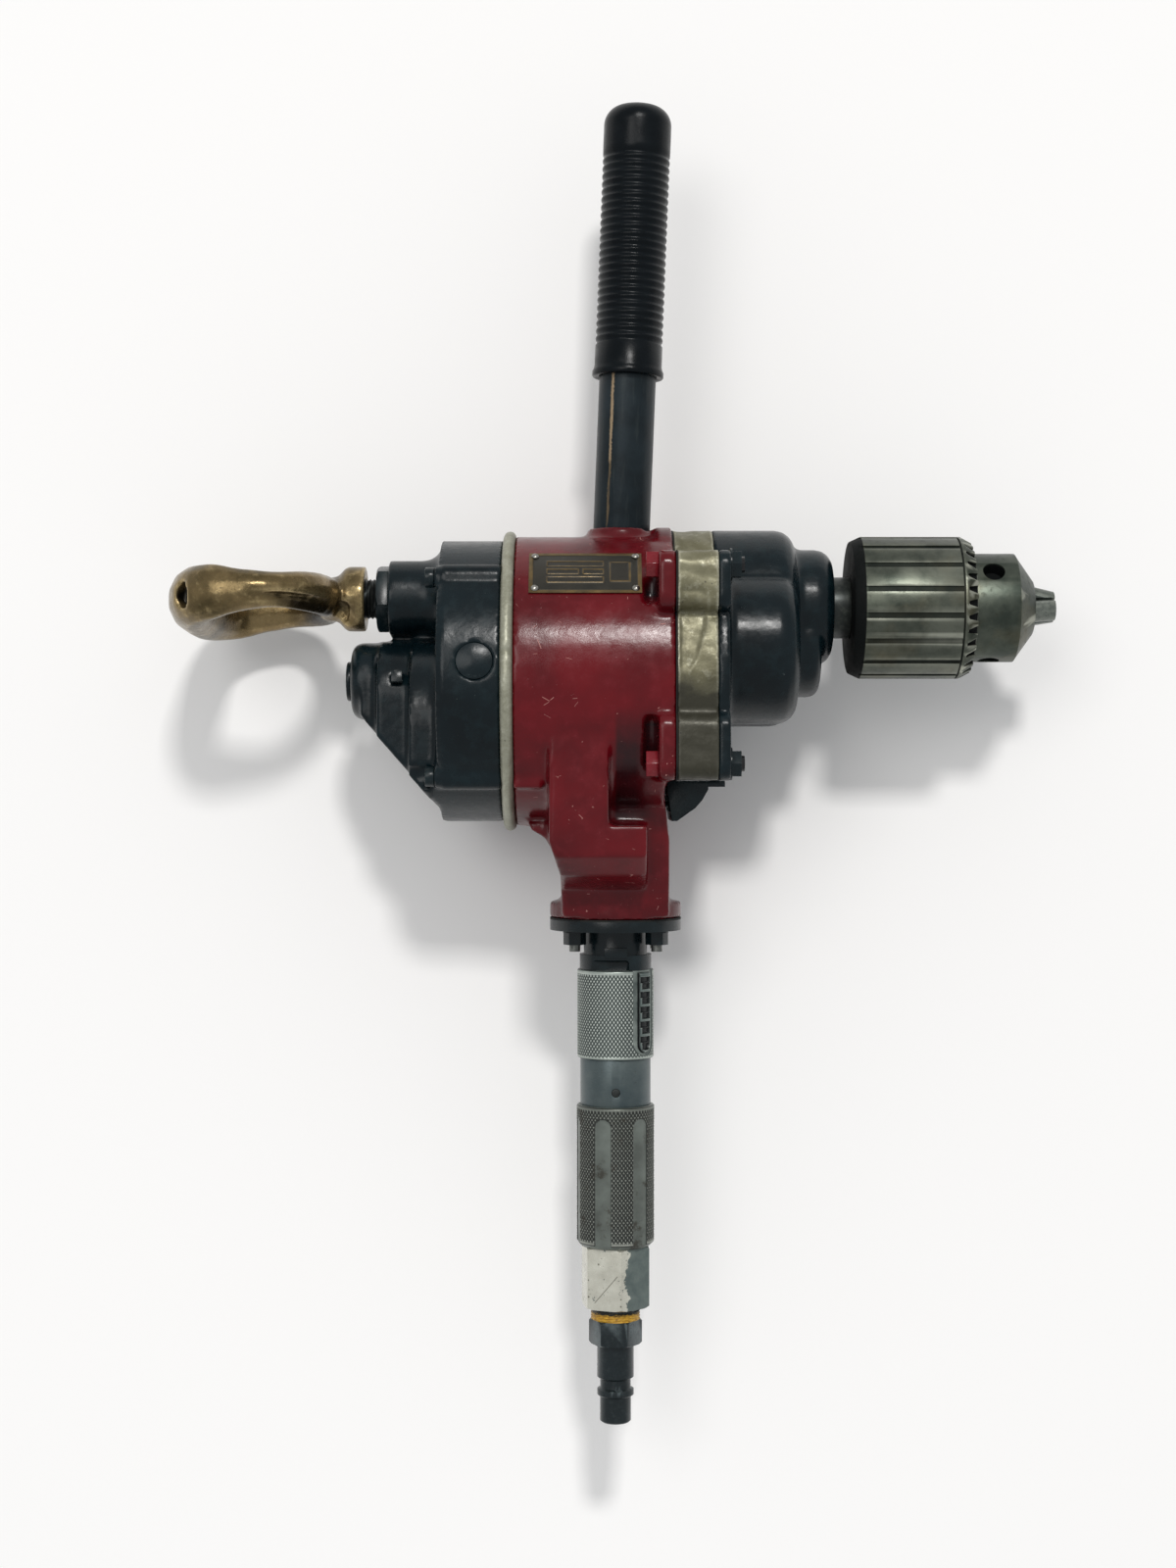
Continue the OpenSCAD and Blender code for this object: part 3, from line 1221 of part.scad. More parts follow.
// Dead handle: a pipe screwed into the housing, with a rubber grip
module dead_handle_pipe() {
    place() color([0.16, 0.18, 0.18]) on_handle() difference() {
        translate([0, 0, pipe_foot]) cylinder(h = pipe_top - pipe_foot, r = pipe_handle_r);
        translate([0, 0, pipe_foot - 1]) cylinder(h = rubber_top, r = pipe_handle_r - pipe_wall);
    }
}
module dead_handle_grip() {
    smooth = 15.5;
    pitch = (rubber_len - rubber_cap - smooth) / rubber_ribs;
    place() color([0.06, 0.07, 0.08]) on_handle() difference() {
        rotate_extrude() difference() {
            union() {
                translate([0, rubber_start]) square([rubber_r, rubber_len - rubber_end_r]);
                translate([0, rubber_start]) square([rubber_lip_r, 3]);
                translate([0, rubber_top - rubber_end_r - 1])
                    square([rubber_r - rubber_end_r, rubber_end_r + 1]);
                translate([rubber_r - rubber_end_r, rubber_top - rubber_end_r]) circle(rubber_end_r);
            }
            for (k = [0:rubber_ribs])
                translate([rubber_r - rubber_rib_depth, rubber_start + smooth + k * pitch - 0.6])
                    square([3, 1.2]);
            translate([-50, 0]) square([50, 400]);
        }
        translate([0, 0, rubber_start - 1])
            cylinder(h = pipe_top - rubber_start + 1.2, r = pipe_handle_r + seat);
    }
}

// Throttle handle
stud_circle = 21.5;
module at_studs() {
    for (a = [30, 150, 210, 330])
        translate([stud_circle * cos(a), -throttle_y, stud_circle * sin(a)]) rotate([90, 0, 0]) children();
}
module throttle_gasket() {
    place() color([0.09, 0.1, 0.1]) difference() {
        rod_down(d_gasket, d_flange, throttle_flange_r);
        rod_down(d_gasket - 1, d_flange + 1, valve_bore_r);
        at_studs() translate([0, 0, -1]) cylinder(h = throttle_gasket_t + 2, r = 2.5 + run);
    }
}
module throttle_body() {
    d_pin = d_sleeve + throttle_len / 2;
    thread_end = d_hex + hex_len / 2 - 2;
    place() color([0.15, 0.17, 0.18]) difference() {
        union() {
            rod_down(d_flange, d_neck, throttle_flange_r);
            rod_down(d_neck - eps, d_stop + eps, throttle_neck_r);
            rod_down(d_stop, d_sleeve, stop_collar_r);
            rod_down(d_sleeve - eps, d_hex, core_r);
            rod_down(d_hex - eps, thread_end, core_r - 1);
            translate([-5, -d_stop - 1, throttle_neck_r - 3]) cube([10, 4.5, 5.4]);
        }
        rod_down(d_gasket - 1, d_collar - 4, valve_bore_r);
        rod_down(d_collar - 5, thread_end + 1, air_bore_r);
        at_studs() translate([0, 0, -1]) cylinder(h = 12, r = 2.5 + run);
        rotate([0, 90 - pin_swing(), 0]) rotate([90, 0, 0])
            rotate_extrude(angle = throttle_turn + 2 * pin_swing())
                translate([valve_bore_r - 2, d_pin - drive_pin_r - 0.4]) square([6, 2 * drive_pin_r + 0.8]);
    }
}
function pin_swing() = asin(drive_pin_r / (valve_bore_r - 1)) + 3;

module flange_studs() {
    place() color([0.2, 0.22, 0.22]) at_studs() translate([0, 0, -9])
        cylinder(h = 18.5 + d_neck - throttle_y, r = 2.5);
}
module flange_nuts() {
    place() color([0.13, 0.16, 0.17]) at_studs() translate([0, 0, d_neck - throttle_y]) difference() {
        union() {
            cylinder(h = 1, r = 5.4);
            cylinder(h = 6.4, r = 5.2, $fn = 6);
        }
        translate([0, 0, -1]) cylinder(h = 9, r = 2.5 + seat);
    }
}

module throttle_sleeve() {
    d_pin = d_sleeve + throttle_len / 2;
    rib_turn = 50;
    place() color([0.45, 0.48, 0.47]) difference() {
        union() {
            rod_down(d_sleeve + 0.1, d_collar - 0.1, throttle_r);
            intersection() {
                rotate([0, rib_turn, 0]) translate([-4, -d_collar + 2.6, 0])
                    cube([8, throttle_len - 3.4, throttle_r + 1.6]);
                rod_down(d_sleeve + 0.1, d_collar - 0.1, throttle_r + 1.2);
            }
        }
        rod_down(d_sleeve - 1, d_collar + 1, core_r + run);
        rotate([0, 90, 0]) translate([0, -d_pin, 0]) cylinder(h = throttle_r + 3, r = drive_pin_r + seat);
        for (k = [0:5])
            rotate([0, rib_turn, 0]) translate([0, -d_sleeve - 4.6 - k * 6, throttle_r + 0.2])
                cylinder(h = 3, r = 2.2);
    }
}
module throttle_valve() {
    d_pin = d_sleeve + throttle_len / 2;
    place() color([0.6, 0.5, 0.3]) difference() {
        rod_down(d_sleeve + 6, d_collar - 4.4, valve_bore_r - run);
        rod_down(d_sleeve, d_collar, valve_bore_r - 3);
        rotate([0, 90, 0]) translate([0, -d_pin, 0]) cylinder(h = throttle_r, r = drive_pin_r + seat);
        translate([0, -d_pin, -20]) cylinder(h = 20, r = 5);
    }
}
module drive_pin() {
    d_pin = d_sleeve + throttle_len / 2;
    place() color([0.6, 0.6, 0.58]) rotate([0, 90, 0]) translate([0, -d_pin, valve_bore_r - 3])
        cylinder(h = throttle_r - valve_bore_r + 2.6, r = drive_pin_r);
}

// A coil of round wire inside the core tube, above the valve
spring_r = 8.6;
wire_r = 0.9;
spring_turns = 5;
spring_pitch = 3.4;
spring_rings = 14;
spring_sides = 6;
module throttle_spring() {
    steps = spring_turns * spring_rings;
    rise = atan2(spring_pitch, 2 * PI * spring_r);
    points = [for (i = [0:steps]) let (t = i * 360 / spring_rings, h = i * spring_pitch / spring_rings)
        for (k = [0:spring_sides - 1]) let (a = k * 360 / spring_sides)
            [(spring_r + wire_r * cos(a)) * cos(t) + wire_r * sin(a) * sin(rise) * sin(t),
             (spring_r + wire_r * cos(a)) * sin(t) - wire_r * sin(a) * sin(rise) * cos(t),
             h + wire_r * sin(a) * cos(rise)]];
    last = steps * spring_sides;
    faces = concat([[for (k = [spring_sides - 1:-1:0]) k]], [[for (k = [0:spring_sides - 1]) last + k]],
        [for (i = [0:steps - 1], k = [0:spring_sides - 1])
            let (a = i * spring_sides, b = a + spring_sides, m = (k + 1) % spring_sides)
            each [[a + k, a + m, b + m], [a + k, b + m, b + k]]]);
    place() color([0.5, 0.5, 0.5])
        translate([0, -d_sleeve - 6 + 0.3 + wire_r + spring_turns * spring_pitch, 0])
            rotate([90, 0, 0]) polyhedron(points, faces);
}

module smooth_collar() {
    place() color([0.42, 0.44, 0.43]) difference() {
        rod_down(d_collar, d_grip, collar_r);
        rod_down(d_collar - 1, d_grip + 1, core_r + seat);
        translate([0, -(d_collar + d_grip) / 2 - 4, 0]) cylinder(h = 20, r = 2 + seat);
    }
}
module collar_screw() {
    place() color([0.3, 0.32, 0.31]) translate([0, -(d_collar + d_grip) / 2 - 4, core_r + 0.1])
        cylinder(h = collar_r - core_r - 0.8, r = 2);
}
module knurled_grip() {
    place() color([0.4, 0.42, 0.41]) difference() {
        spin_down() polygon([[core_r + seat, d_grip], [grip_r - 0.6, d_grip], [grip_r, d_grip + 0.6],
            [grip_r, d_hex - 2.2], [grip_r - 2.2, d_hex], [core_r + seat, d_hex]]);
        for (k = [0:flutes - 1]) rotate([0, k * 360 / flutes - 20, 0])
            translate([-flute_w / 2, -d_hex - 1, grip_r - 0.75]) cube([flute_w, grip_len - 3, 4]);
    }
}

module inlet_hex() {
    place() color([0.72, 0.72, 0.68]) difference() {
        intersection() {
            hex_down(d_hex, d_seal, hex_r, hex_turn);
            spin_down() polygon([[0, d_hex], [hex_r - 1.4, d_hex], [hex_r, d_hex + 1], [hex_r, d_seal - 1],
                [hex_r - 1.4, d_seal], [0, d_seal]]);
        }
        rod_down(d_hex - 1, d_hex + hex_len / 2, core_r - 1 + seat);
        rod_down(d_hex + hex_len / 2 - 1, d_seal + 1, pipe_r + seat);
    }
}
module air_strainer() {
    d0 = d_hex + hex_len / 2 - 1.5;
    place() color([0.6, 0.55, 0.35]) difference() {
        union() {
            rod_down(d0 - 20, d0 + 1.4, air_bore_r - 0.3);
            rod_down(d0, d0 + 1.4, core_r - 1.4);
        }
        rod_down(d0 - 19, d0 + 3, air_bore_r - 1.1);
        for (k = [0:5], row = [0:2])
            translate([0, -d0 + 5 + row * 5, 0]) rotate([0, k * 60 + row * 30, 0]) cylinder(h = 20, r = 1.2);
    }
}
module thread_sealant() {
    place() color([0.8, 0.62, 0.15]) difference() {
        rod_down(d_seal, d_plug, pipe_r + 0.5);
        rod_down(d_seal - 1, d_plug + 1, pipe_r + seat);
    }
}
module air_plug() {
    thread_len = hex_len / 2 - 1;
    place() color([0.18, 0.22, 0.25]) difference() {
        union() {
            rod_down(d_seal - thread_len, d_plug + eps, pipe_r);
            intersection() {
                hex_down(d_plug, d_shank, plug_hex_r, 4);
                spin_down() polygon([[0, d_plug], [plug_hex_r - 1, d_plug], [plug_hex_r, d_plug + 0.8],
                    [plug_hex_r, d_shank - 0.8], [plug_hex_r - 1, d_shank], [0, d_shank]]);
            }
            spin_down() polygon([[0, d_shank - eps], [plug_shank_r, d_shank - eps],
                [plug_shank_r, d_groove - 1],
                [plug_groove_r, d_groove], [plug_groove_r, d_ridge], [plug_shank_r, d_ridge + 0.8],
                [plug_shank_r, d_tip - 1], [plug_tip_r, d_tip], [plug_tip_r, d_end - 0.8],
                [plug_tip_r - 0.8, d_end], [0, d_end]]);
        }
        rod_down(d_seal - thread_len - 1, d_end + 1, plug_bore_r);
    }
}

motor_housing();
name_plate();
plate_screws();
rear_end_plate();
rear_cover();
core_plug();
oil_plug();
bearing_cap();
cover_screws();
spade_stud();
jam_nut();
cylinder_liner();
front_end_plate();
tail_bearing_outer();
front_bearing_outer();
spindle_bearing_outer();
bearing_balls();
flange_gasket();
gear_spacer();
gear_case();
housing_bolts();
case_nuts();
bronze_bushes();
spindle_seal();
exhaust_hood();
hood_screw();
dead_handle_pipe();
dead_handle_grip();
throttle_gasket();
throttle_body();
flange_studs();
flange_nuts();
throttle_spring();
smooth_collar();
collar_screw();
knurled_grip();
inlet_hex();
air_strainer();
thread_sealant();
air_plug();
rotor();
rotor_vanes();
tail_bearing_inner();
front_bearing_inner();
intermediate_shaft();
intermediate_gear();
spindle();
spindle_gear();
spindle_bearing_inner();
chuck_body();
chuck_sleeve();
chuck_nut();
jaw_1();
jaw_2();
jaw_3();
throttle_sleeve();
throttle_valve();
drive_pin();
spade_handle();
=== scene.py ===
import math

import bmesh
import bpy
import numpy as np
from mathutils import Matrix, Vector


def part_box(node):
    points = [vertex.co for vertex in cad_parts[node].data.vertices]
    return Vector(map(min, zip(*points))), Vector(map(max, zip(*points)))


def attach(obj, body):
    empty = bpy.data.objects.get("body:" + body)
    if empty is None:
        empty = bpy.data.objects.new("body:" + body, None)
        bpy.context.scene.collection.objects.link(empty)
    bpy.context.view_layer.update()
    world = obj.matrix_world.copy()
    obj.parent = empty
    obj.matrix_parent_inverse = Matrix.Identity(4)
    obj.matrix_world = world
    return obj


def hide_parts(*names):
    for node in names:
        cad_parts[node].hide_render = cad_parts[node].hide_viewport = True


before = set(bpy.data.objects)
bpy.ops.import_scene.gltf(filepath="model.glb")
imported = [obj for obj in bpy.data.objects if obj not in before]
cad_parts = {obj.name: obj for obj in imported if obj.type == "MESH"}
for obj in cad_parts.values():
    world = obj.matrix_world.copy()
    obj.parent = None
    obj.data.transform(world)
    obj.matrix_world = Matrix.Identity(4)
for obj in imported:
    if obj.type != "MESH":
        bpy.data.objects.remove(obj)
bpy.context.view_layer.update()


# Motor housing: one red enamelled sand casting round the motor, with the trunk that
# takes in the air at the bottom and the boss for the dead handle at the top.
# The enamel is thick and glossy, chipped on the corners, with a few pale scratches.
def at(x, y, z):
    """A point of the drill in millimetres, from where the handle axes and the spindle cross."""
    return Vector((x + 0.554, y + 71.497, z + 68.6)) / 1000


def deselect_everything():
    if bpy.context.mode != "OBJECT":
        bpy.ops.object.mode_set(mode="OBJECT")
    bpy.ops.object.select_all(action="DESELECT")


def pick(piece):
    """Leaves one piece selected and ready for the next operator."""
    deselect_everything()
    piece.select_set(True)
    bpy.context.view_layer.objects.active = piece


def copy_of(node, name):
    """A copy of a solid with its loose triangles joined to one skin."""
    piece = bpy.data.objects.new(name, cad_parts[node].data.copy())
    bpy.context.scene.collection.objects.link(piece)
    piece.data.materials.clear()
    pick(piece)
    bpy.ops.object.mode_set(mode="EDIT")
    bpy.ops.mesh.select_all(action="SELECT")
    bpy.ops.mesh.customdata_custom_splitnormals_clear()
    bpy.ops.mesh.remove_doubles(threshold=0.000004)
    bpy.ops.object.mode_set(mode="OBJECT")
    return piece


def apply_step(piece, kind, **settings):
    """Adds one modifier, sets it up and applies it."""
    pick(piece)
    step = piece.modifiers.new(kind.lower(), kind)
    for key, value in settings.items():
        setattr(step, key, value)
    bpy.ops.object.modifier_apply(modifier=step.name)


def points_of(piece):
    points = np.empty(len(piece.data.vertices) * 3)
    piece.data.vertices.foreach_get("co", points)
    return points.reshape(-1, 3)


def move_points(piece, points):
    piece.data.vertices.foreach_set("co", np.ascontiguousarray(points).ravel())
    piece.data.update()


def rub_inside_corners(piece, width, passes):
    """Fills the inside corners of a casting with a soft fillet, as sand moulds leave them."""
    points = points_of(piece)
    edges = np.empty(len(piece.data.edges) * 2, dtype=np.int64)
    piece.data.edges.foreach_get("vertices", edges)
    edges = edges.reshape(-1, 2)
    normals = np.empty(len(points) * 3)
    piece.data.vertices.foreach_get("normal", normals)
    normals = normals.reshape(-1, 3)
    ends = np.concatenate([edges, edges[:, ::-1]])
    count = np.maximum(np.bincount(ends[:, 0], minlength=len(points)), 1)

    def beside(values):
        return np.bincount(ends[:, 0], weights=values[ends[:, 1]], minlength=len(points)) / count

    middle = np.stack([beside(points[:, k]) for k in range(3)], axis=1)
    span = np.linalg.norm(points[edges[:, 0]] - points[edges[:, 1]], axis=1).mean()
    hollow = np.einsum("ij,ij->i", middle - points, normals) / span
    share = np.clip((hollow - 0.05) / 0.08, 0, 1)
    for _ in range(width):
        share = np.maximum(share, beside(share) * 1.25).clip(0, 1)
    group = piece.vertex_groups.new(name="inside_corners")
    levels = np.round(share, 1)
    for level in np.unique(levels[levels > 0]):
        group.add(np.nonzero(levels == level)[0].tolist(), float(level), "REPLACE")
    apply_step(piece, "SMOOTH", factor=0.5, iterations=passes, vertex_group="inside_corners")
    piece.vertex_groups.clear()


def sand_cast(node, name, grain, passes, width=3, corner_passes=18):
    """A copy of a solid with the soft edges and fillets of a sand casting."""
    piece = copy_of(node, name)
    apply_step(piece, "REMESH", mode="VOXEL", voxel_size=grain / 1000)
    rub_inside_corners(piece, width, corner_passes)
    apply_step(piece, "SMOOTH", factor=0.5, iterations=passes)
    pick(piece)
    bpy.ops.object.shade_smooth()
    return piece


def shade(red, green, blue):
    """A colour as it looks, from 0 to 255, for the shader."""
    return tuple(
        c / 3294.6 if c <= 10 else ((c / 255 + 0.055) / 1.055) ** 2.4 for c in (red, green, blue)
    ) + (1.0,)


class Finish:
    """One surface finish, mixed from patterns that lie still on the piece."""

    def __init__(self, name):
        self.material = bpy.data.materials.new(name)
        self.material.use_nodes = True
        self.tree = self.material.node_tree
        self.shader = self.tree.nodes["Principled BSDF"]
        self.place = self.tree.nodes.new("ShaderNodeTexCoord").outputs["Object"]

    def put(self, socket, value):
        if isinstance(value, bpy.types.NodeSocket):
            self.tree.links.new(value, socket)
        else:
            socket.default_value = value

    def add(self, kind, **values):
        node = self.tree.nodes.new(kind)
        for key, value in values.items():
            self.put(node.inputs[key.replace("_", " ")], value)
        return node

    def moved(self, offset=(0, 0, 0), stretch=(1, 1, 1), turn=(0, 0, 0)):
        """The piece's own coordinates, stretched to lay a pattern along the work."""
        return self.add("ShaderNodeMapping", Vector=self.place, Location=offset, Scale=stretch,
                        Rotation=turn).outputs["Vector"]

    def grain(self, size, detail=3.0, roughness=0.55, where=None, twist=0.0):
        """Cloudy noise with patches of about that size in millimetres."""
        return self.add("ShaderNodeTexNoise", Vector=where or self.place, Scale=1000 / size,
                        Detail=detail, Roughness=roughness, Distortion=twist).outputs["Fac"]

    def pits(self, size, where=None):
        """Distance to the nearest of scattered points, for pits and specks."""
        return self.add("ShaderNodeTexVoronoi", Vector=where or self.place,
                        Scale=1000 / size).outputs["Distance"]

    def span(self, value, low, high, start=0.0, end=1.0):
        """Turns a stretch of a pattern's values into another stretch."""
        return self.add("ShaderNodeMapRange", Value=value, From_Min=low, From_Max=high,
                        To_Min=start, To_Max=end).outputs["Result"]

    def sum(self, kind, first, second):
        node = self.tree.nodes.new("ShaderNodeMath")
        node.operation = kind
        self.put(node.inputs[0], first)
        self.put(node.inputs[1], second)
        return node.outputs[0]

    def blend(self, amount, first, second):
        node = self.tree.nodes.new("ShaderNodeMix")
        node.data_type = "RGBA"
        self.put(node.inputs[0], amount)
        self.put(node.inputs[6], first)
        self.put(node.inputs[7], second)
        return node.outputs[2]

    def edges(self, low=0.505, high=0.56):
        """Where the skin turns outwards, which is where finishes rub off."""
        return self.span(self.add("ShaderNodeNewGeometry").outputs["Pointiness"], low, high)

    def corners(self, low=0.495, high=0.45):
        """Where the skin turns inwards, which is where dirt stays."""
        return self.span(self.add("ShaderNodeNewGeometry").outputs["Pointiness"], low, high)

    def from_axis(self, point, along):
        """How far the skin is from a straight axis, in metres."""
        out = self.add("ShaderNodeVectorMath", Vector=self.place)
        out.operation = "SUBTRACT"
        out.inputs[1].default_value = point
        across = self.tree.nodes.new("ShaderNodeVectorMath")
        across.operation = "CROSS_PRODUCT"
        self.put(across.inputs[0], out.outputs[0])
        across.inputs[1].default_value = Vector(along).normalized()
        size = self.tree.nodes.new("ShaderNodeVectorMath")
        size.operation = "LENGTH"
        self.put(size.inputs[0], across.outputs[0])
        return size.outputs["Value"]

    def axis(self, letter):
        return self.add("ShaderNodeSeparateXYZ", Vector=self.place).outputs[letter]

    def relief(self, height, depth, below=None, strength=1.0):
        """Small ups and downs of that depth in millimetres."""
        node = self.add("ShaderNodeBump", Strength=strength, Distance=depth / 1000, Height=height)
        if below is not None:
            self.put(node.inputs["Normal"], below)
        return node.outputs["Normal"]

    def done(self, colour, roughness, metal=0.0, normal=None, **fixed):
        self.put(self.shader.inputs["Base Color"], colour)
        self.put(self.shader.inputs["Roughness"], roughness)
        self.put(self.shader.inputs["Metallic"], metal)
        if normal is not None:
            self.put(self.shader.inputs["Normal"], normal)
        for key, value in fixed.items():
            self.shader.inputs[key.replace("_", " ")].default_value = value
        return self.material


def enamel(name, coat, pale, deep, bare, gloss=0.3, chips=0.0, peel=0.03, rub=0.6, lumps=0.12,
           shine=0.35, scratches=0.0, pocket=None):
    """Thick brushed enamel on a rough casting, thin and chipped where it has been knocked."""
    f = Finish(name)
    wide = f.grain(40, detail=3)
    near = f.grain(6, detail=5, roughness=0.6)
    fine = f.grain(0.9, detail=4, roughness=0.7)
    colour = f.blend(f.span(wide, 0.36, 0.66), deep, coat)
    colour = f.blend(f.span(near, 0.5, 0.8, 0, 0.4), colour, pale)
    dirt = f.blend(0.62, coat, (0.006, 0.006, 0.007, 1))
    colour = f.blend(f.sum("MULTIPLY", f.corners(0.492, 0.44), f.span(near, 0.3, 0.6, 0.4, 0.9)), colour, dirt)
    # the pocket mask goes near-black: painted shade for the housing's bolt pockets, bare dark steel for the bolt ends
    if pocket is not None:
        colour = f.blend(pocket(f), colour, (0.006, 0.006, 0.007, 1))
    knocks = f.sum("MULTIPLY", f.span(f.grain(2.2, detail=6, roughness=0.75), 0.65 - chips, 0.665 - chips),
                   f.span(f.grain(24, detail=2), 0.52, 0.58))
    rubbed = f.sum("MULTIPLY", f.edges(0.535, 0.6), f.span(fine, 0.5, 0.62, 0, rub))
    gone = f.sum("MAXIMUM", knocks, rubbed)
    for size, shift in ((17, 3.0), (29, 8.0)):
        crack = f.add("ShaderNodeTexVoronoi", Scale=1000 / size, Vector=f.moved(
            offset=(shift, 1, 2), stretch=(1, 1.7, 1), turn=(0, 0, shift)))
        crack.feature = "DISTANCE_TO_EDGE"
        line = f.sum("MULTIPLY", f.span(crack.outputs["Distance"], 0.006, 0.002),
                     f.span(f.grain(6, detail=1, where=f.moved(offset=(shift, 5, 5))), 0.67, 0.69))
        gone = f.sum("MAXIMUM", gone, f.sum("MULTIPLY", line, scratches))
    colour = f.blend(gone, colour, bare)
    roughness = f.sum("ADD", f.span(near, 0.3, 0.7, gloss - 0.05, gloss + 0.07), f.span(gone, 0, 1, 0, 0.2))
    skin = f.relief(f.grain(8, detail=2), lumps)
    skin = f.relief(fine, peel, below=skin)
    skin = f.relief(f.span(gone, 0, 1, 1, 0), 0.06, below=skin)
    return f.done(colour, roughness, normal=skin, Specular_IOR_Level=shine)


def bolt_pocket_shade(f):
    """Painted shade: the deep pockets behind the bolt ears go black, and the recess beside the air trunk goes darker.
    """
    place = f.add("ShaderNodeSeparateXYZ", Vector=f.place)
    behind = f.sum("MULTIPLY", f.span(place.outputs["X"], at(8.5, 0, 0).x, at(10.5, 0, 0).x),
                   f.span(place.outputs["X"], at(21.5, 0, 0).x, at(20.2, 0, 0).x))
    low = f.sum("MULTIPLY", f.span(place.outputs["Y"], at(0, -71, 0).y, at(0, -68.5, 0).y),
                f.span(place.outputs["Y"], at(0, -53, 0).y, at(0, -55, 0).y))
    high = f.sum("MULTIPLY", f.span(place.outputs["Y"], at(0, 12, 0).y, at(0, 10, 0).y),
                 f.span(place.outputs["Y"], at(0, -1, 0).y, at(0, 2, 0).y))
    deep = f.sum("MULTIPLY", f.sum("MAXIMUM", low, high), behind)
    deep = f.sum("MULTIPLY", deep, f.corners(0.5, 0.47))
    # painted shade in the recess beside the air trunk, broken up by noise
    painted_shade = f.sum("MULTIPLY", f.span(place.outputs["X"], at(-1.2, 0, 0).x, at(0.2, 0, 0).x),
                 f.span(place.outputs["X"], at(18, 0, 0).x, at(8, 0, 0).x))
    painted_shade = f.sum("MULTIPLY", painted_shade, f.span(place.outputs["Y"], at(0, -99, 0).y, at(0, -95, 0).y))
    painted_shade = f.sum("MULTIPLY", painted_shade, f.span(place.outputs["Y"], at(0, -47, 0).y, at(0, -64, 0).y))
    return f.sum("MAXIMUM", deep, f.sum("MULTIPLY", painted_shade, f.span(f.grain(14, detail=4), 0.3, 0.65, 0.55, 0.8)))


# the housing's bolt pockets and the recess beside the trunk get painted shade
red_enamel = enamel("crimson_enamel", coat=shade(99, 9, 19), pale=shade(114, 22, 33),
                    deep=shade(70, 5, 12), bare=shade(196, 140, 132), gloss=0.21, chips=-0.012,
                    rub=0.3, shine=0.28, scratches=0.75, pocket=bolt_pocket_shade)

housing = copy_of("motor_housing", "motor_housing_casting")
# a short ridge beside the handle boss, left by the mould's joint
bpy.ops.mesh.primitive_cube_add(size=1, location=at(15.2, 25.5, 2.5))
ridge = bpy.context.object
bpy.ops.transform.resize(value=(0.0026, 0.017, 0.011))
bpy.ops.object.transform_apply(location=True, rotation=True, scale=True)
deselect_everything()
ridge.select_set(True)
housing.select_set(True)
bpy.context.view_layer.objects.active = housing
bpy.ops.object.join()
apply_step(housing, "REMESH", mode="VOXEL", voxel_size=0.0012)
rub_inside_corners(housing, 4, 40)
apply_step(housing, "SMOOTH", factor=0.5, iterations=3)
pick(housing)
bpy.ops.object.shade_smooth()
housing.data.materials.append(red_enamel)
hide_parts("motor_housing")
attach(housing, "drill")

# Name plate: a thin brass plate bent to the housing, its field blackened by etching,
# with a bare rim and plain raised panels that stay blank. Four drive screws hold it.
plate_low, plate_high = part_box("name_plate")
plate_mid = (plate_low.x + plate_high.x) / 2
plate_half = (plate_high.x - plate_low.x) / 2
axle = at(0, -33.75, 0)
plate_r = 0.06602
plate_turn = math.radians(44.3)
plate_arc = math.radians(22.8)
bpy.ops.mesh.primitive_grid_add(x_subdivisions=100, y_subdivisions=56, size=1)
plate = bpy.context.object
plate.name = "name_plate_etched"
flat = points_of(plate)
u = flat[:, 0] * 2
v = flat[:, 1] * 2
along = u * plate_half * 1000
across = v * plate_arc / 2 * 66
rim = np.minimum(plate_half * 1000 - np.abs(along), plate_arc / 2 * 66 - np.abs(across))
raised = np.where(rim < 1.5, 1.0, 0.0)
for x0, x1, y0, y1 in ((-17, 8, 3.6, 7), (-17, -3, -1.2, 1.8), (-1, 8, -1.2, 1.8), (-17, 8, -6.8, -3.4),
                       (11, 19.5, -6.2, 6.4)):
    frame_gap = np.minimum(np.minimum(along - x0, x1 - along), np.minimum(across - y0, y1 - across))
    raised = np.maximum(raised, np.where((frame_gap > -0.3) & (frame_gap < 0.35), 0.8, 0.0))
lift = plate_r + 0.00045 + raised * 0.0003
turn = plate_turn - v * plate_arc / 2
bent = np.stack([plate_mid + u * plate_half, axle.y + lift * np.sin(turn), axle.z + lift * np.cos(turn)], 1)
pick(plate)
bpy.ops.object.transform_apply(location=True, rotation=True, scale=True)
move_points(plate, bent)
bpy.ops.object.mode_set(mode="EDIT")
bpy.ops.mesh.select_all(action="SELECT")
bpy.ops.mesh.normals_make_consistent(inside=False)
bpy.ops.object.mode_set(mode="OBJECT")
if plate.data.polygons[0].normal.dot(Vector((0, math.sin(plate_turn), math.cos(plate_turn)))) < 0:
    plate.data.flip_normals()
apply_step(plate, "SOLIDIFY", thickness=0.0004, offset=-1)
bpy.ops.object.shade_smooth_by_angle(angle=math.radians(35))

f = Finish("etched_brass")
out = f.add("ShaderNodeSeparateXYZ", Vector=f.place)
down_y = f.sum("SUBTRACT", out.outputs["Y"], axle.y)
down_z = f.sum("SUBTRACT", out.outputs["Z"], axle.z)
radius = f.tree.nodes.new("ShaderNodeVectorMath")
radius.operation = "LENGTH"
f.put(radius.inputs[0], f.add("ShaderNodeCombineXYZ", Y=down_y, Z=down_z).outputs[0])
bare = f.span(radius.outputs["Value"], plate_r + 0.0005, plate_r + 0.00068)
worn = f.sum("MULTIPLY", bare, f.span(f.grain(4, detail=5), 0.3, 0.62, 0.35, 1))
dirt = f.grain(9, detail=5, roughness=0.65)
colour = f.blend(worn, f.blend(dirt, shade(22, 23, 19), shade(44, 39, 27)),
                 f.blend(dirt, shade(84, 68, 42), shade(134, 114, 78)))
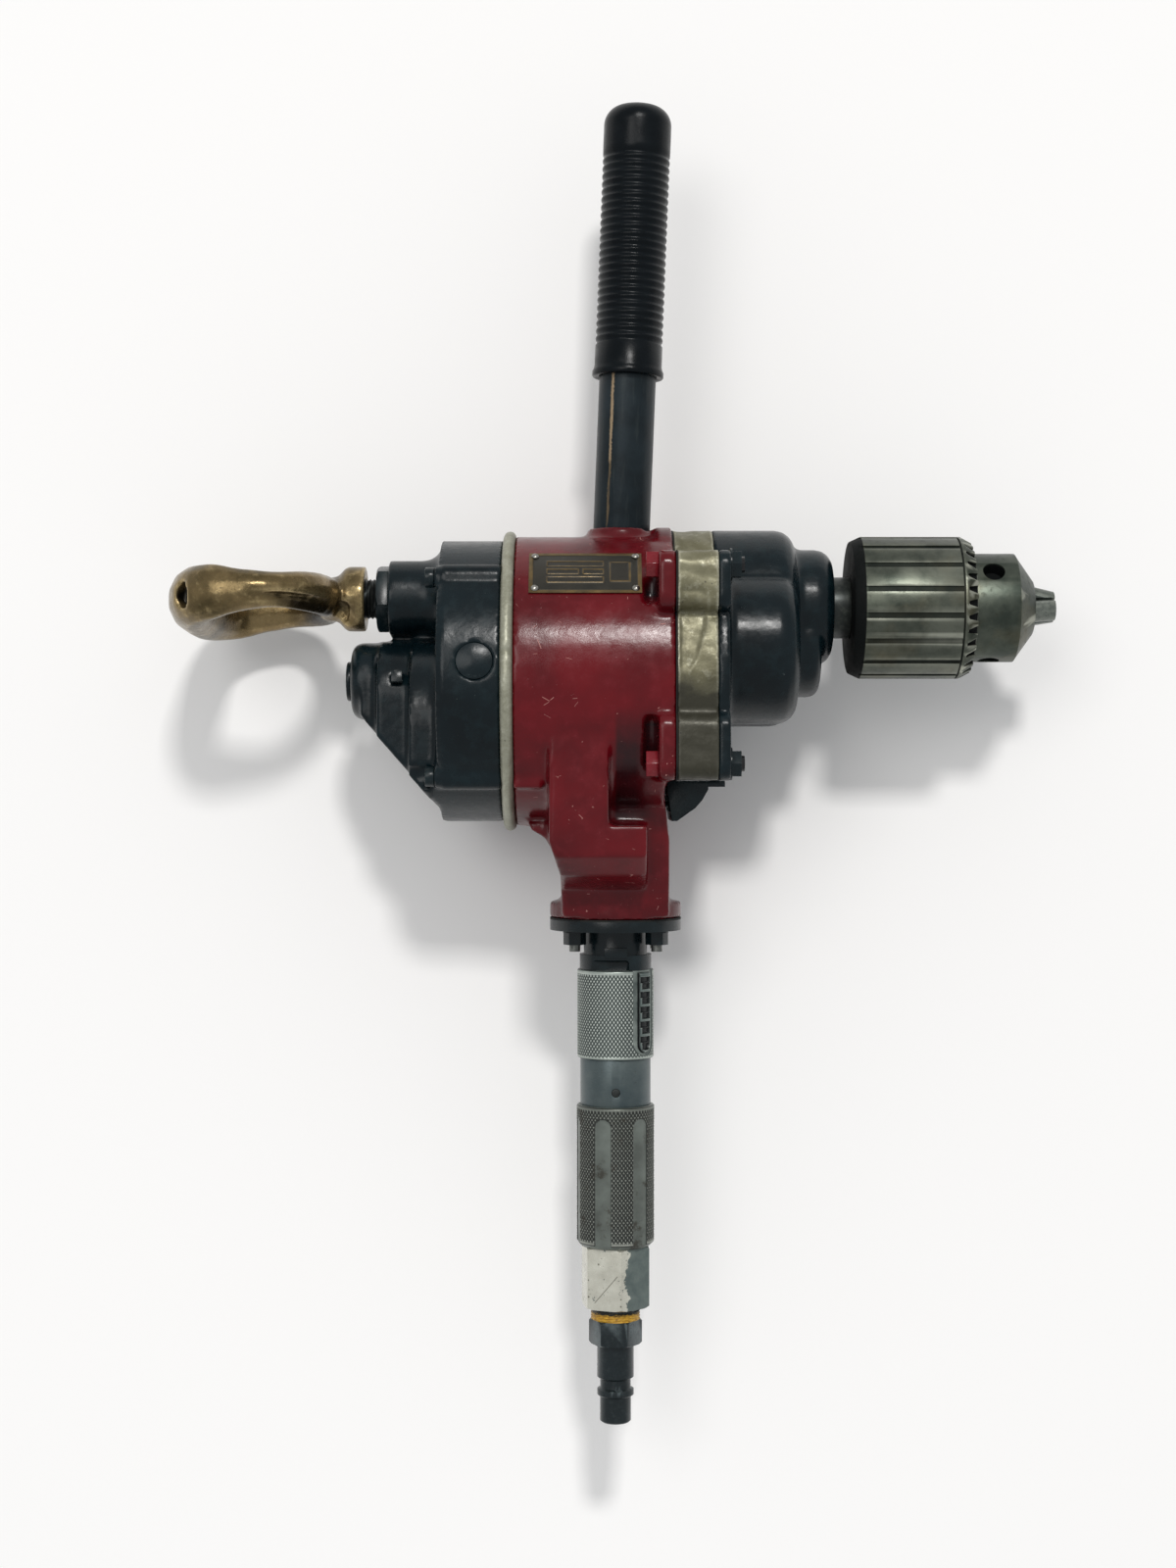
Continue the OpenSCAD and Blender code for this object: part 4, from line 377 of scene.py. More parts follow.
etched_brass = f.done(colour, f.span(dirt, 0.3, 0.7, 0.3, 0.5), metal=f.span(worn, 0, 1, 0.25, 0.9),
                      normal=f.relief(f.grain(0.9, detail=4), 0.05))
plate.data.materials.append(etched_brass)
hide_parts("name_plate")
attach(plate, "drill")


# Drive screws of the plate: round steel heads, hammered in, dull with a bright crown.
def worked_metal(name, base, worn, dirt, rough=0.32, scratch=1.0, metal=1.0, stain=0.3, streak=(1, 1, 1)):
    """Turned or forged metal with stains in its hollows, bright corners and fine scratches."""
    f = Finish(name)
    cloud = f.grain(16, detail=4, roughness=0.55)
    fine = f.grain(2.2, detail=6, roughness=0.7)
    lines = f.grain(3.5, detail=3, where=f.moved(stretch=streak)) if streak != (1, 1, 1) else fine
    colour = f.blend(f.span(cloud, 0.35, 0.68, 0, stain), base, dirt)
    colour = f.blend(f.span(fine, 0.5, 0.8, 0, 0.22), colour, worn)
    colour = f.blend(f.sum("MULTIPLY", f.corners(), f.span(fine, 0.3, 0.6, 0.4, 0.8)), colour, dirt)
    colour = f.blend(f.sum("MULTIPLY", f.edges(0.53, 0.6), f.span(fine, 0.3, 0.6, 0.3, 0.8)), colour, worn)
    roughness = f.sum("ADD", f.span(cloud, 0.3, 0.7, rough - 0.05, rough + 0.07),
                      f.span(fine, 0.35, 0.7, -0.03, 0.06))
    skin = f.relief(lines, 0.03 * scratch)
    skin = f.relief(f.grain(0.7, detail=3), 0.02 * scratch, below=skin)
    return f.done(colour, roughness, metal=metal, normal=skin)


bright_steel = worked_metal("bright_steel", shade(150, 148, 142), shade(212, 208, 200), shade(84, 78, 70))
screws = copy_of("plate_screws", "plate_drive_screws")
apply_step(screws, "SUBSURF", levels=1, render_levels=1)
pick(screws)
bpy.ops.object.shade_smooth()
screws.data.materials.append(bright_steel)
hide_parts("plate_screws")
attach(screws, "drill")


# Rear end plate: a bare alloy disc that closes the motor. Only its half-round rim
# shows, stained olive, dented where the drill has been set down on it.
def cast_alloy(name, base, bright, stain, deep, rough=0.42, lumps=0.3, metal=0.75, mottle=1.0, painted_shade=None):
    """Bare cast alloy: mottled, stained in the hollows, rubbed bright on what stands proud."""
    f = Finish(name)
    wide = f.grain(26, detail=5, roughness=0.6)
    near = f.grain(4.5, detail=6, roughness=0.7)
    fine = f.grain(1.0, detail=4, roughness=0.7)
    colour = f.blend(f.span(wide, 0.34, 0.66), stain, base)
    colour = f.blend(f.span(near, 0.54, 0.76, 0, 0.5 * mottle), colour, bright)
    colour = f.blend(f.span(near, 0.44, 0.28, 0, 0.4 * mottle), colour, deep)
    colour = f.blend(f.sum("MULTIPLY", f.corners(0.495, 0.44), f.span(fine, 0.3, 0.6, 0.3, 0.8)), colour, deep)
    colour = f.blend(f.sum("MULTIPLY", f.edges(0.51, 0.57), f.span(fine, 0.35, 0.6, 0.3, 0.9)), colour, bright)
    specks = f.span(f.pits(3.4), 0.15, 0.08)
    specks = f.sum("MULTIPLY", specks, f.span(f.grain(9, detail=2), 0.56, 0.62, 0, mottle))
    colour = f.blend(specks, colour, deep)
    # painted shade: where the mask says, the colour goes towards black
    if painted_shade is not None:
        colour = f.blend(painted_shade(f), colour, f.blend(0.25, (0.004, 0.004, 0.004, 1), deep))
    roughness = f.span(near, 0.3, 0.7, rough + 0.08, rough - 0.06)
    skin = f.relief(f.grain(9, detail=3), lumps)
    skin = f.relief(near, 0.08, below=skin)
    skin = f.relief(fine, 0.04, below=skin)
    return f.done(colour, roughness, metal=metal, normal=skin)


olive_alloy = cast_alloy("olive_alloy", base=shade(143, 143, 126), bright=shade(204, 204, 188),
                         stain=shade(116, 115, 96), deep=shade(58, 56, 42), rough=0.42, metal=0.4)
ring = copy_of("rear_end_plate", "rear_end_plate_rim")
apply_step(ring, "REMESH", mode="VOXEL", voxel_size=0.0011)
apply_step(ring, "SMOOTH", factor=0.5, iterations=2)
points = points_of(ring)
low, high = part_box("rear_end_plate")
turn = np.arctan2(points[:, 1] - axle.y, points[:, 2] - axle.z)
radius = np.hypot(points[:, 1] - axle.y, points[:, 2] - axle.z)
outer = np.clip((radius - 0.0655) / 0.0015, 0, 1)
dents = 0.00035 * np.clip(np.sin(7 * turn + 1.0) * np.sin(17 * turn), 0, 1)
for middle, width, depth in ((0.15, 0.03, 0.0007), (-0.62, 0.05, 0.0006), (0.9, 0.04, 0.0005), (-2.2, 0.06, 0.0006)):
    dents += depth * np.exp(-((turn - middle) / width) ** 2)
scale = 1 - outer * dents / np.maximum(radius, 0.01)
points[:, 1] = axle.y + (points[:, 1] - axle.y) * scale
points[:, 2] = axle.z + (points[:, 2] - axle.z) * scale
move_points(ring, points)
pick(ring)
bpy.ops.object.shade_smooth()
ring.data.materials.append(olive_alloy)
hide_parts("rear_end_plate")
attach(ring, "drill")


# Rear cover: the dark enamelled casting behind the motor. Its round base steps in to
# the bearing boss below and to the boss for the spade handle's stud above.
dark_enamel = enamel("dark_enamel", coat=shade(10, 25, 30), pale=shade(22, 42, 47),
                     deep=shade(5, 15, 19), bare=shade(80, 90, 89), gloss=0.25, chips=-0.02,
                     rub=0.22, lumps=0.2, shine=0.24)
cover = copy_of("rear_cover", "rear_cover_casting")
apply_step(cover, "REMESH", mode="VOXEL", voxel_size=0.0011)
rub_inside_corners(cover, 4, 45)
apply_step(cover, "SMOOTH", factor=0.5, iterations=3)
# the middle of the base stands a little proud, as a broad pad with square edges
points = points_of(cover)
turn = np.arctan2(points[:, 1] - axle.y, points[:, 2] - axle.z)
radius = np.hypot(points[:, 1] - axle.y, points[:, 2] - axle.z)
from_rear = points[:, 0] - at(-78.8, 0, 0).x
beyond = np.maximum(turn - math.radians(47.5), math.radians(-48.5) - turn)
outside = np.clip(beyond / math.radians(1.1), 0, 1) * (np.abs(turn) < 2.6)
outside = np.maximum(outside, np.clip((0.0022 - from_rear) / 0.0008, 0, 1) * (from_rear > -0.004))
skin = np.clip((radius - 0.0622) / 0.001, 0, 1) * (from_rear > -0.0035)
scale = 1 - 0.0009 * outside * skin / np.maximum(radius, 0.01)
points[:, 1] = axle.y + (points[:, 1] - axle.y) * scale
points[:, 2] = axle.z + (points[:, 2] - axle.z) * scale
move_points(cover, points)
pick(cover)
bpy.ops.object.shade_smooth()
cover.data.materials.append(dark_enamel)
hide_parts("rear_cover")
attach(cover, "drill")


# Core plug, oil plug, bearing cap and cover screws: small steel parts of the rear
# cover, painted over with it, so that their corners show bare steel.
def machined(node, name, edge, body, material, angle=32, segments=2):
    """A copy of a solid with small bevels on its sharp edges, ready for its finish."""
    piece = copy_of(node, name)
    bpy.ops.object.mode_set(mode="EDIT")
    bpy.ops.mesh.select_all(action="SELECT")
    bpy.ops.mesh.dissolve_limited(angle_limit=math.radians(0.5))
    bpy.ops.object.mode_set(mode="OBJECT")
    if edge > 0:
        apply_step(piece, "BEVEL", width=edge / 1000, segments=segments, limit_method="ANGLE",
                   angle_limit=math.radians(angle), harden_normals=False, use_clamp_overlap=True,
                   miter_outer="MITER_ARC")
    pick(piece)
    bpy.ops.object.shade_smooth_by_angle(angle=math.radians(38))
    piece.data.materials.append(material)
    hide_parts(node)
    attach(piece, body)
    return piece


worn_dark = enamel("worn_dark_enamel", coat=shade(15, 29, 33), pale=shade(32, 50, 54),
                   deep=shade(8, 17, 20), bare=shade(92, 100, 98), gloss=0.27, chips=-0.08, rub=0.35,
                   lumps=0.08, shine=0.26)
plain_dark = enamel("plain_dark_enamel", coat=shade(14, 28, 32), pale=shade(28, 46, 50),
                    deep=shade(8, 17, 20), bare=shade(92, 100, 98), gloss=0.26, chips=-0.08, rub=0.0,
                    lumps=0.08, shine=0.3)
core_plug = machined("core_plug", "rear_cover_core_plug", 0.25, "drill", dark_enamel)
points = points_of(core_plug)
points[:, 2] -= 0.0007
move_points(core_plug, points)
oil_plug = machined("oil_plug", "rear_cover_oil_plug", 0.35, "drill", worn_dark)
bearing_cap = machined("bearing_cap", "tail_bearing_cap", 0.8, "drill", dark_enamel, segments=3)
cover_screws = machined("cover_screws", "rear_cover_screws", 0.4, "drill", worn_dark)


# Stud and jam nut: the stud is cut with a coarse thread, of which a few turns show
# between the nut and the handle. The nut is painted with the cover.
dark_steel = worked_metal("dark_oily_steel", shade(52, 56, 56), shade(122, 124, 120), shade(22, 24, 24),
                          rough=0.36, metal=0.85)
stud_low, stud_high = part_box("spade_stud")
stud_axis = at(0, 4.05, 0)
bpy.ops.mesh.primitive_cylinder_add(vertices=64, radius=0.00925, depth=stud_high.x - stud_low.x,
                                    end_fill_type="NGON",
                                    location=((stud_low.x + stud_high.x) / 2, stud_axis.y, stud_axis.z),
                                    rotation=(0, math.pi / 2, 0))
stud = bpy.context.object
stud.name = "spade_handle_stud"
bpy.ops.object.transform_apply(location=True, rotation=True, scale=True)
bpy.ops.object.mode_set(mode="EDIT")
mesh = bmesh.from_edit_mesh(stud.data)
for edge in mesh.edges:
    edge.select = abs(edge.verts[0].co.x - edge.verts[1].co.x) > 0.01
bpy.ops.mesh.subdivide(number_cuts=int((stud_high.x - stud_low.x) / 0.00029))
bpy.ops.object.mode_set(mode="OBJECT")
points = points_of(stud)
turn = np.arctan2(points[:, 1] - stud_axis.y, points[:, 2] - stud_axis.z)
phase = (points[:, 0] - stud_low.x) / 0.00175 - turn / math.tau
cut = 0.00085 * (1 - np.abs(2 * (phase % 1) - 1)) ** 0.8
ends = np.clip(np.minimum(points[:, 0] - stud_low.x, stud_high.x - points[:, 0]) / 0.0006, 0, 1)
scale = 1 - np.maximum(cut, 0.0009 * (1 - ends)) / 0.00925
points[:, 1] = stud_axis.y + (points[:, 1] - stud_axis.y) * scale
points[:, 2] = stud_axis.z + (points[:, 2] - stud_axis.z) * scale
move_points(stud, points)
pick(stud)
bpy.ops.object.shade_smooth_by_angle(angle=math.radians(50))
stud.data.materials.append(dark_steel)
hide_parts("spade_stud")
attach(stud, "drill")
jam_nut = machined("jam_nut", "spade_handle_jam_nut", 0.4, "drill", worn_dark)


# Spade handle: a closed loop cast in bronze, browned by hands and gilt where it is
# rubbed. Its arms are channelled on the outside, and two core holes end the grip bar.
def handle_hole_shade(f):
    """Painted shade in the core holes and in the channels of the arms."""
    height = f.sum("SUBTRACT", f.axis("Z"), at(0, 0, 0).z)
    near_hole = f.sum("MULTIPLY", f.span(f.from_axis(at(-188, 2.45, 40.1), (-0.766, 0.022, 0.643)), 0.0052, 0.0045),
                      f.span(height, 0.014, 0.018))
    far_hole = f.sum("MULTIPLY", f.span(f.from_axis(at(-188, -0.35, -39.9), (-0.766, 0.022, -0.643)), 0.0052, 0.0045),
                     f.span(height, -0.014, -0.018))
    lean = f.sum("MULTIPLY", f.sum("SUBTRACT", f.axis("X"), at(-124, 0, 0).x), 0.075)
    off = f.tree.nodes.new("ShaderNodeMath")
    off.operation = "ABSOLUTE"
    f.put(off.inputs[0], f.sum("ADD", f.sum("SUBTRACT", f.axis("Y"), at(0, -3.45, 0).y), lean))
    channel = f.sum("MULTIPLY", f.span(off.outputs[0], 0.0050, 0.0022),
                    f.span(f.axis("X"), at(-156, 0, 0).x, at(-142, 0, 0).x))
    channel = f.sum("MULTIPLY", channel, f.span(f.axis("X"), at(-117, 0, 0).x, at(-122, 0, 0).x))
    high = f.tree.nodes.new("ShaderNodeMath")
    high.operation = "ABSOLUTE"
    f.put(high.inputs[0], height)
    channel = f.sum("MULTIPLY", channel, f.span(high.outputs[0], 0.010, 0.015))
    holes = f.sum("MULTIPLY", f.sum("MAXIMUM", near_hole, far_hole),
                  f.span(f.axis("X"), at(-184.5, 0, 0).x, at(-187.5, 0, 0).x))
    return f.sum("MAXIMUM", holes, f.sum("MULTIPLY", channel, 0.88))


# the core holes and the arms' channels are painted dark as painted shade
handle_bronze = cast_alloy("rubbed_bronze", base=shade(136, 116, 80), bright=shade(226, 202, 150),
                           stain=shade(80, 68, 42), deep=shade(40, 34, 22), rough=0.25, lumps=0.2,
                           metal=0.75, mottle=0.7, painted_shade=handle_hole_shade)
loop = copy_of("spade_handle", "spade_handle_loop")
apply_step(loop, "REMESH", mode="VOXEL", voxel_size=0.00095)
apply_step(loop, "SMOOTH", factor=0.5, iterations=6)
points = points_of(loop)
roll = math.radians(2)
side = (points[:, 2] - stud_axis.z) * math.cos(roll) + (points[:, 1] - stud_axis.y) * math.sin(roll)
rise = (points[:, 1] - stud_axis.y) * math.cos(roll) - (points[:, 2] - stud_axis.z) * math.sin(roll)
along = points[:, 0] - at(-124, 0, 0).x
fade = np.clip((along + 0.038) / 0.016, 0, 1) * np.clip((0.0065 - along) / 0.006, 0, 1)
back = np.clip(-along, 0, 0.04)
groove = np.exp(-((rise + 0.0075 - 0.075 * back) / (0.0048 - 0.07 * back)) ** 4) * fade
normals = np.empty(len(points) * 3)
loop.data.vertices.foreach_get("normal", normals)
normals = normals.reshape(-1, 3)
outward = np.clip((normals[:, 2] * np.sign(side) - 0.1) / 0.5, 0, 1) * (np.abs(side) > 0.008)
points -= normals * (groove * outward * 0.0042)[:, None]
# the grip bar is stouter than the arms, which have a waist in their middle
bar = np.clip((-along - 0.040) / 0.016, 0, 1)
bar = bar * bar * (3 - 2 * bar)
waist = np.exp(-((along + 0.027) / 0.012) ** 2)
more = (rise + 0.003) * 0.24 * bar - (rise + 0.0015) * 0.17 * waist
points[:, 1] += more * math.cos(roll)
points[:, 2] -= more * math.sin(roll)
move_points(loop, points)
apply_step(loop, "SMOOTH", factor=0.5, iterations=3)
pick(loop)
bpy.ops.object.shade_smooth()
loop.data.materials.append(handle_bronze)
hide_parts("spade_handle")
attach(loop, "spade_handle")


# Motor: iron liner, end plate, slotted rotor with laminate vanes and its ball bearings.
# They sit inside the housing, ground and oiled, and keep their plain solids.
motor_iron = worked_metal("machined_iron", shade(120, 122, 120), shade(170, 170, 166), shade(66, 64, 60),
                          streak=(1, 14, 14))
ground_steel = worked_metal("ground_steel", shade(150, 152, 152), shade(205, 205, 202), shade(92, 90, 86),
                            rough=0.24, streak=(16, 1, 1))
ball_steel = worked_metal("polished_ball_steel", shade(176, 178, 180), shade(225, 226, 226),
                          shade(120, 118, 112), rough=0.14, scratch=0.5)


def dress(node, material):
    """Gives a solid that stays as it is its finish."""
    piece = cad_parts[node]
    if not piece.material_slots:
        piece.data.materials.append(material)
    for material_slot in piece.material_slots:
        material_slot.material = material


f = Finish("vane_laminate")
weave = f.grain(1.6, detail=4, where=f.moved(stretch=(1, 5, 5)))
vane_laminate = f.done(f.blend(f.span(weave, 0.35, 0.65), shade(74, 46, 26), shade(122, 84, 50)),
                       f.span(weave, 0.3, 0.7, 0.45, 0.62), normal=f.relief(weave, 0.05))
for node in ("cylinder_liner", "front_end_plate"):
    dress(node, motor_iron)
dress("rotor", ground_steel)
dress("rotor_vanes", vane_laminate)
for node in ("tail_bearing_outer", "front_bearing_outer", "spindle_bearing_outer", "bearing_balls",
             "tail_bearing_inner", "front_bearing_inner", "spindle_bearing_inner"):
    dress(node, ball_steel)


# Gears between the rotor and the spindle, with the bronze bushes of the intermediate
# shaft and the rubber seal of the spindle. All of them run inside the gear case.
bush_bronze = worked_metal("turned_bronze", shade(150, 116, 62), shade(206, 172, 108), shade(84, 62, 34),
                           rough=0.28, streak=(1, 14, 14))
for node in ("intermediate_shaft", "intermediate_gear", "spindle_gear"):
    dress(node, ground_steel)
dress("bronze_bushes", bush_bronze)


def rubber(name, base, dust, shine=0.42, depth=0.06):
    """Black rubber, dusty in its hollows and polished where hands have held it."""
    f = Finish(name)
    cloud = f.grain(11, detail=5)
    fine = f.grain(0.8, detail=4, roughness=0.7)
    colour = f.blend(f.span(cloud, 0.4, 0.75, 0, 0.5), base, dust)
    colour = f.blend(f.sum("MULTIPLY", f.corners(), f.span(fine, 0.35, 0.6, 0.2, 0.6)), colour, dust)
    skin = f.relief(fine, depth)
    return f.done(colour, f.span(cloud, 0.3, 0.7, shine - 0.08, shine + 0.12), normal=skin,
                  Specular_IOR_Level=0.15)


seal_rubber = rubber("seal_rubber", shade(24, 25, 26), shade(48, 48, 46), shine=0.5)
dress("spindle_seal", seal_rubber)


# Gasket and gear spacer: pressed fibre behind a bare alloy spacer, whose skin still
# shows the waves of its sand mould and the crease where a core stood.
def spacer_low_shade(f):
    """Painted shade: the low half of the spacer, which faces away from the lamps, is painted darker."""
    low = f.span(f.sum("ADD", f.axis("Y"), f.span(f.grain(14, detail=4), 0.3, 0.7, -0.006, 0.006)),
                 at(0, -26, 0).y, at(0, -42, 0).y)
    return f.sum("MULTIPLY", low, 0.86)


# the spacer's alloy, with painted shade on its low half
low_shaded_alloy = cast_alloy("low_shaded_olive_alloy", base=shade(124, 121, 97), bright=shade(196, 194, 174),
                         stain=shade(94, 90, 66), deep=shade(58, 56, 42), rough=0.4, metal=0.4,
                         painted_shade=spacer_low_shade)
gasket_fibre = rubber("pressed_fibre", shade(26, 28, 28), shade(62, 60, 54), shine=0.66, depth=0.1)
dress("flange_gasket", gasket_fibre)
spacer = copy_of("gear_spacer", "gear_spacer_casting")
apply_step(spacer, "REMESH", mode="VOXEL", voxel_size=0.0009)
rub_inside_corners(spacer, 3, 25)
apply_step(spacer, "SMOOTH", factor=0.5, iterations=2)
points = points_of(spacer)
normals = np.empty(len(points) * 3)
spacer.data.vertices.foreach_get("normal", normals)
normals = normals.reshape(-1, 3)
spacer_x0 = at(26.1, 0, 0).x
x = (points[:, 0] - spacer_x0) * 1000
y = (points[:, 1] - at(0, 0, 0).y) * 1000
z = (points[:, 2] - at(0, 0, 0).z) * 1000
rim = np.clip(np.minimum(x, 17.9 - x) / 1.6, 0, 1)
outer = (np.abs(normals[:, 0]) < 0.5) & ((z > 30) | (z < -30) | (y > 20) | (y < -76))
crease_x = np.interp(y, [-34, -26, -12, 0, 3.5, 6], [3.5, 8.5, 12.5, 13.0, 11.0, 2.0])
inside = np.clip((crease_x - x) / 0.9, 0, 1) * np.clip((4.5 - y) / 1.2, 0, 1) * np.clip((y + 33) / 4, 0, 1)
waves = 0.5 * np.sin(x * 0.55 + 2.1) * np.sin(y * 0.37 + 0.7 * x * 0.3) + 0.35 * np.sin(y * 0.83 + x * 0.21 + 1.0)
waves *= np.clip((y + 30) / 12, 0.25, 1)
press = (0.42 * (0.7 - waves) + 0.75 * inside * (z > 0)) * rim * outer
points -= normals * (press / 1000)[:, None]
move_points(spacer, points)
apply_step(spacer, "SMOOTH", factor=0.5, iterations=2)
pick(spacer)
bpy.ops.object.shade_smooth()
spacer.data.materials.append(low_shaded_alloy)
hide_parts("gear_spacer")
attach(spacer, "drill")


# Gear case: a dark enamelled casting with a wide arch over the spindle gear, two lobes
# for the intermediate gear and a rounded nose for the spindle bearing.
case = sand_cast("gear_case", "gear_case_casting", 0.95, 4, width=5, corner_passes=60)
case.data.materials.append(dark_enamel)
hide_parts("gear_case")
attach(case, "drill")


# Bolts and nuts that clamp housing, spacer and gear case: hexagon heads painted red
# with the housing, nuts painted dark with the case.
def thread_ends(f):
    """The ends of the bolts past the nuts, which the red enamel never reached."""
    place = f.add("ShaderNodeSeparateXYZ", Vector=f.place)
    return f.span(place.outputs["X"], at(40, 0, 0).x, at(41, 0, 0).x)


red_worn = enamel("crimson_bolt_enamel", coat=shade(120, 16, 30), pale=shade(136, 34, 46),
                  deep=shade(100, 10, 20), bare=shade(206, 150, 144), gloss=0.2, chips=-0.05, rub=0.1,
                  shine=0.4, pocket=thread_ends)
bolts = machined("housing_bolts", "housing_joint_bolts", 0.5, "drill", red_worn)
nuts = machined("case_nuts", "gear_case_nuts", 0.5, "drill", worn_dark)


# Exhaust hood: a dark painted steel hood under the spacer that turns the exhaust air
# away from the hands, held by one screw.
hood = machined("exhaust_hood", "exhaust_hood_sheet", 0.5, "drill", worn_dark)
hood_screw = machined("hood_screw", "exhaust_hood_screw", 0.3, "drill", worn_dark)


# Dead handle: a black steel pipe screwed into the housing. Down one side of its enamel a pale brown line is painted
# as a painted reflection.
lean = math.radians(2.3)
pipe_axis = Vector((math.sin(lean), math.cos(lean), 0))
pipe_root = at(0, -33.75, 0)
f = Finish("black_pipe_enamel")
turned = f.tree.nodes.new("ShaderNodeMapping")
turned.vector_type = "TEXTURE"
turned.inputs["Location"].default_value = pipe_root
turned.inputs["Rotation"].default_value = (0, 0, -lean)
f.put(turned.inputs["Vector"], f.tree.nodes["Texture Coordinate"].outputs["Object"])
place = f.add("ShaderNodeSeparateXYZ", Vector=turned.outputs["Vector"])
cloud = f.grain(16, detail=5)
fine = f.grain(1.2, detail=5, roughness=0.7)
lines = f.grain(2.5, detail=4, where=f.add("ShaderNodeMapping", Vector=turned.outputs["Vector"],
                                         Scale=(1, 0.12, 1)).outputs["Vector"])
colour = f.blend(f.span(cloud, 0.35, 0.7), shade(12, 23, 28), shade(26, 38, 44))
colour = f.blend(f.span(lines, 0.55, 0.8, 0, 0.3), colour, shade(66, 72, 70))
# painted reflection: a pale brown line down the front side of the pipe, inside a wider faint one
sideways = f.sum("SUBTRACT", place.outputs["X"], f.span(fine, 0.3, 0.7, -0.0070, -0.0064))
near = f.tree.nodes.new("ShaderNodeMath")
near.operation = "ABSOLUTE"
f.put(near.inputs[0], sideways)
streak = f.span(near.outputs[0], 0.0007, 0.0003)
streak = f.sum("MULTIPLY", streak, f.span(place.outputs["Y"], 0.098, 0.101))
streak = f.sum("MULTIPLY", streak, f.span(place.outputs["Z"], 0.004, 0.006))
streak = f.sum("MULTIPLY", streak, f.span(lines, 0.3, 0.42, 0.55, 1))
faint_reflection = f.sum("MULTIPLY", f.span(near.outputs[0], 0.0008, 0.0004), f.span(lines, 0.5, 0.6))
faint_reflection = f.sum("MULTIPLY", faint_reflection, f.span(place.outputs["Z"], 0.004, 0.006))
colour = f.blend(f.sum("MULTIPLY", faint_reflection, 0.5), colour, shade(128, 108, 78))
colour = f.blend(streak, colour, f.blend(fine, shade(104, 84, 60), shade(178, 158, 130)))
black_pipe = f.done(colour, f.span(cloud, 0.3, 0.7, 0.34, 0.48), metal=0.25,
                    normal=f.relief(f.span(streak, 0, 1, 1, 0), 0.06,
                                    below=f.relief(f.sum("ADD", fine, lines), 0.07)),
                    Specular_IOR_Level=0.3)
pipe = copy_of("dead_handle_pipe", "dead_handle_tube")
apply_step(pipe, "BEVEL", width=0.0008, segments=2, limit_method="ANGLE", angle_limit=math.radians(40))
pick(pipe)
bpy.ops.object.shade_smooth_by_angle(angle=math.radians(38))
pipe.data.materials.append(black_pipe)
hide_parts("dead_handle_pipe")
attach(pipe, "drill")


# Rubber grip: moulded in one with a smooth rounded end, a plain collar at the foot
# and two dozen rounded ribs between them. It is pushed on over the pipe.
foot = 139.5
top = 264.0
ribs = 24
rib_start = foot + 15.5
rib_pitch = (top - 24.0 - rib_start) / ribs
outline = [(13.15, foot + 0.4), (13.5, foot), (16.0, foot), (16.38, foot + 0.5), (16.4, foot + 2.4),
           (15.9, foot + 3.4), (15.45, foot + 5), (15.42, rib_start - 1.2)]
for k in range(ribs):
    start = rib_start + k * rib_pitch
    outline += [(14.82, start - 0.55), (14.78, start + 0.45), (15.28, start + 1.1), (15.45, start + 1.9),
                (15.42, start + rib_pitch - 1.5), (15.2, start + rib_pitch - 0.85)]
outline += [(14.85, top - 24.3), (14.9, top - 23.6), (15.4, top - 23.0), (15.48, top - 20)]
outline += [(15.48 - 9 + 9 * math.cos(a), top - 9 + 9 * math.sin(a) - 0.02)
            for a in [math.radians(d) for d in range(0, 90, 6)]]
outline += [(6.0, top - 0.03), (4.0, top - 0.01), (2.0, top - 0.01), (0.0, top - 0.01)]
bpy.ops.mesh.primitive_circle_add(vertices=3, radius=0.001, fill_type="NOTHING")
grip = bpy.context.object
grip.name = "dead_handle_rubber"
bpy.ops.object.mode_set(mode="EDIT")
mesh = bmesh.from_edit_mesh(grip.data)
for vertex in list(mesh.verts):
    mesh.verts.remove(vertex)
previous = None
side = Vector((math.cos(lean), -math.sin(lean), 0))
for radius, height in outline:
    vertex = mesh.verts.new(pipe_root + side * (radius / 1000) + pipe_axis * (height / 1000))
    if previous is not None:
        mesh.edges.new((previous, vertex))
    previous = vertex
bmesh.update_edit_mesh(grip.data)
bpy.ops.mesh.select_all(action="SELECT")
bpy.ops.mesh.spin(steps=72, angle=math.tau, center=pipe_root, axis=pipe_axis)
bpy.ops.mesh.select_all(action="SELECT")
bpy.ops.mesh.remove_doubles(threshold=0.000005)
bpy.ops.mesh.normals_make_consistent(inside=False)
bpy.ops.object.mode_set(mode="OBJECT")
pick(grip)
bpy.ops.object.location_clear()
bpy.ops.object.shade_smooth()
handle_rubber = rubber("handle_rubber", shade(2, 7, 11), shade(10, 18, 23), shine=0.26, depth=0.05)
grip.data.materials.append(handle_rubber)
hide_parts("dead_handle_grip")
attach(grip, "drill")


# Throttle handle: gasket, black flanged body with a window that shows the sleeve's
# stop, four studs with their nuts, and the return spring inside.
dress("throttle_gasket", gasket_fibre)
dress("flange_studs", dark_steel)
dress("throttle_spring", ground_steel)
handle_x = at(0, 0, 0).x
handle_z = at(0, 0, 0).z
body = copy_of("throttle_body", "throttle_handle_body")
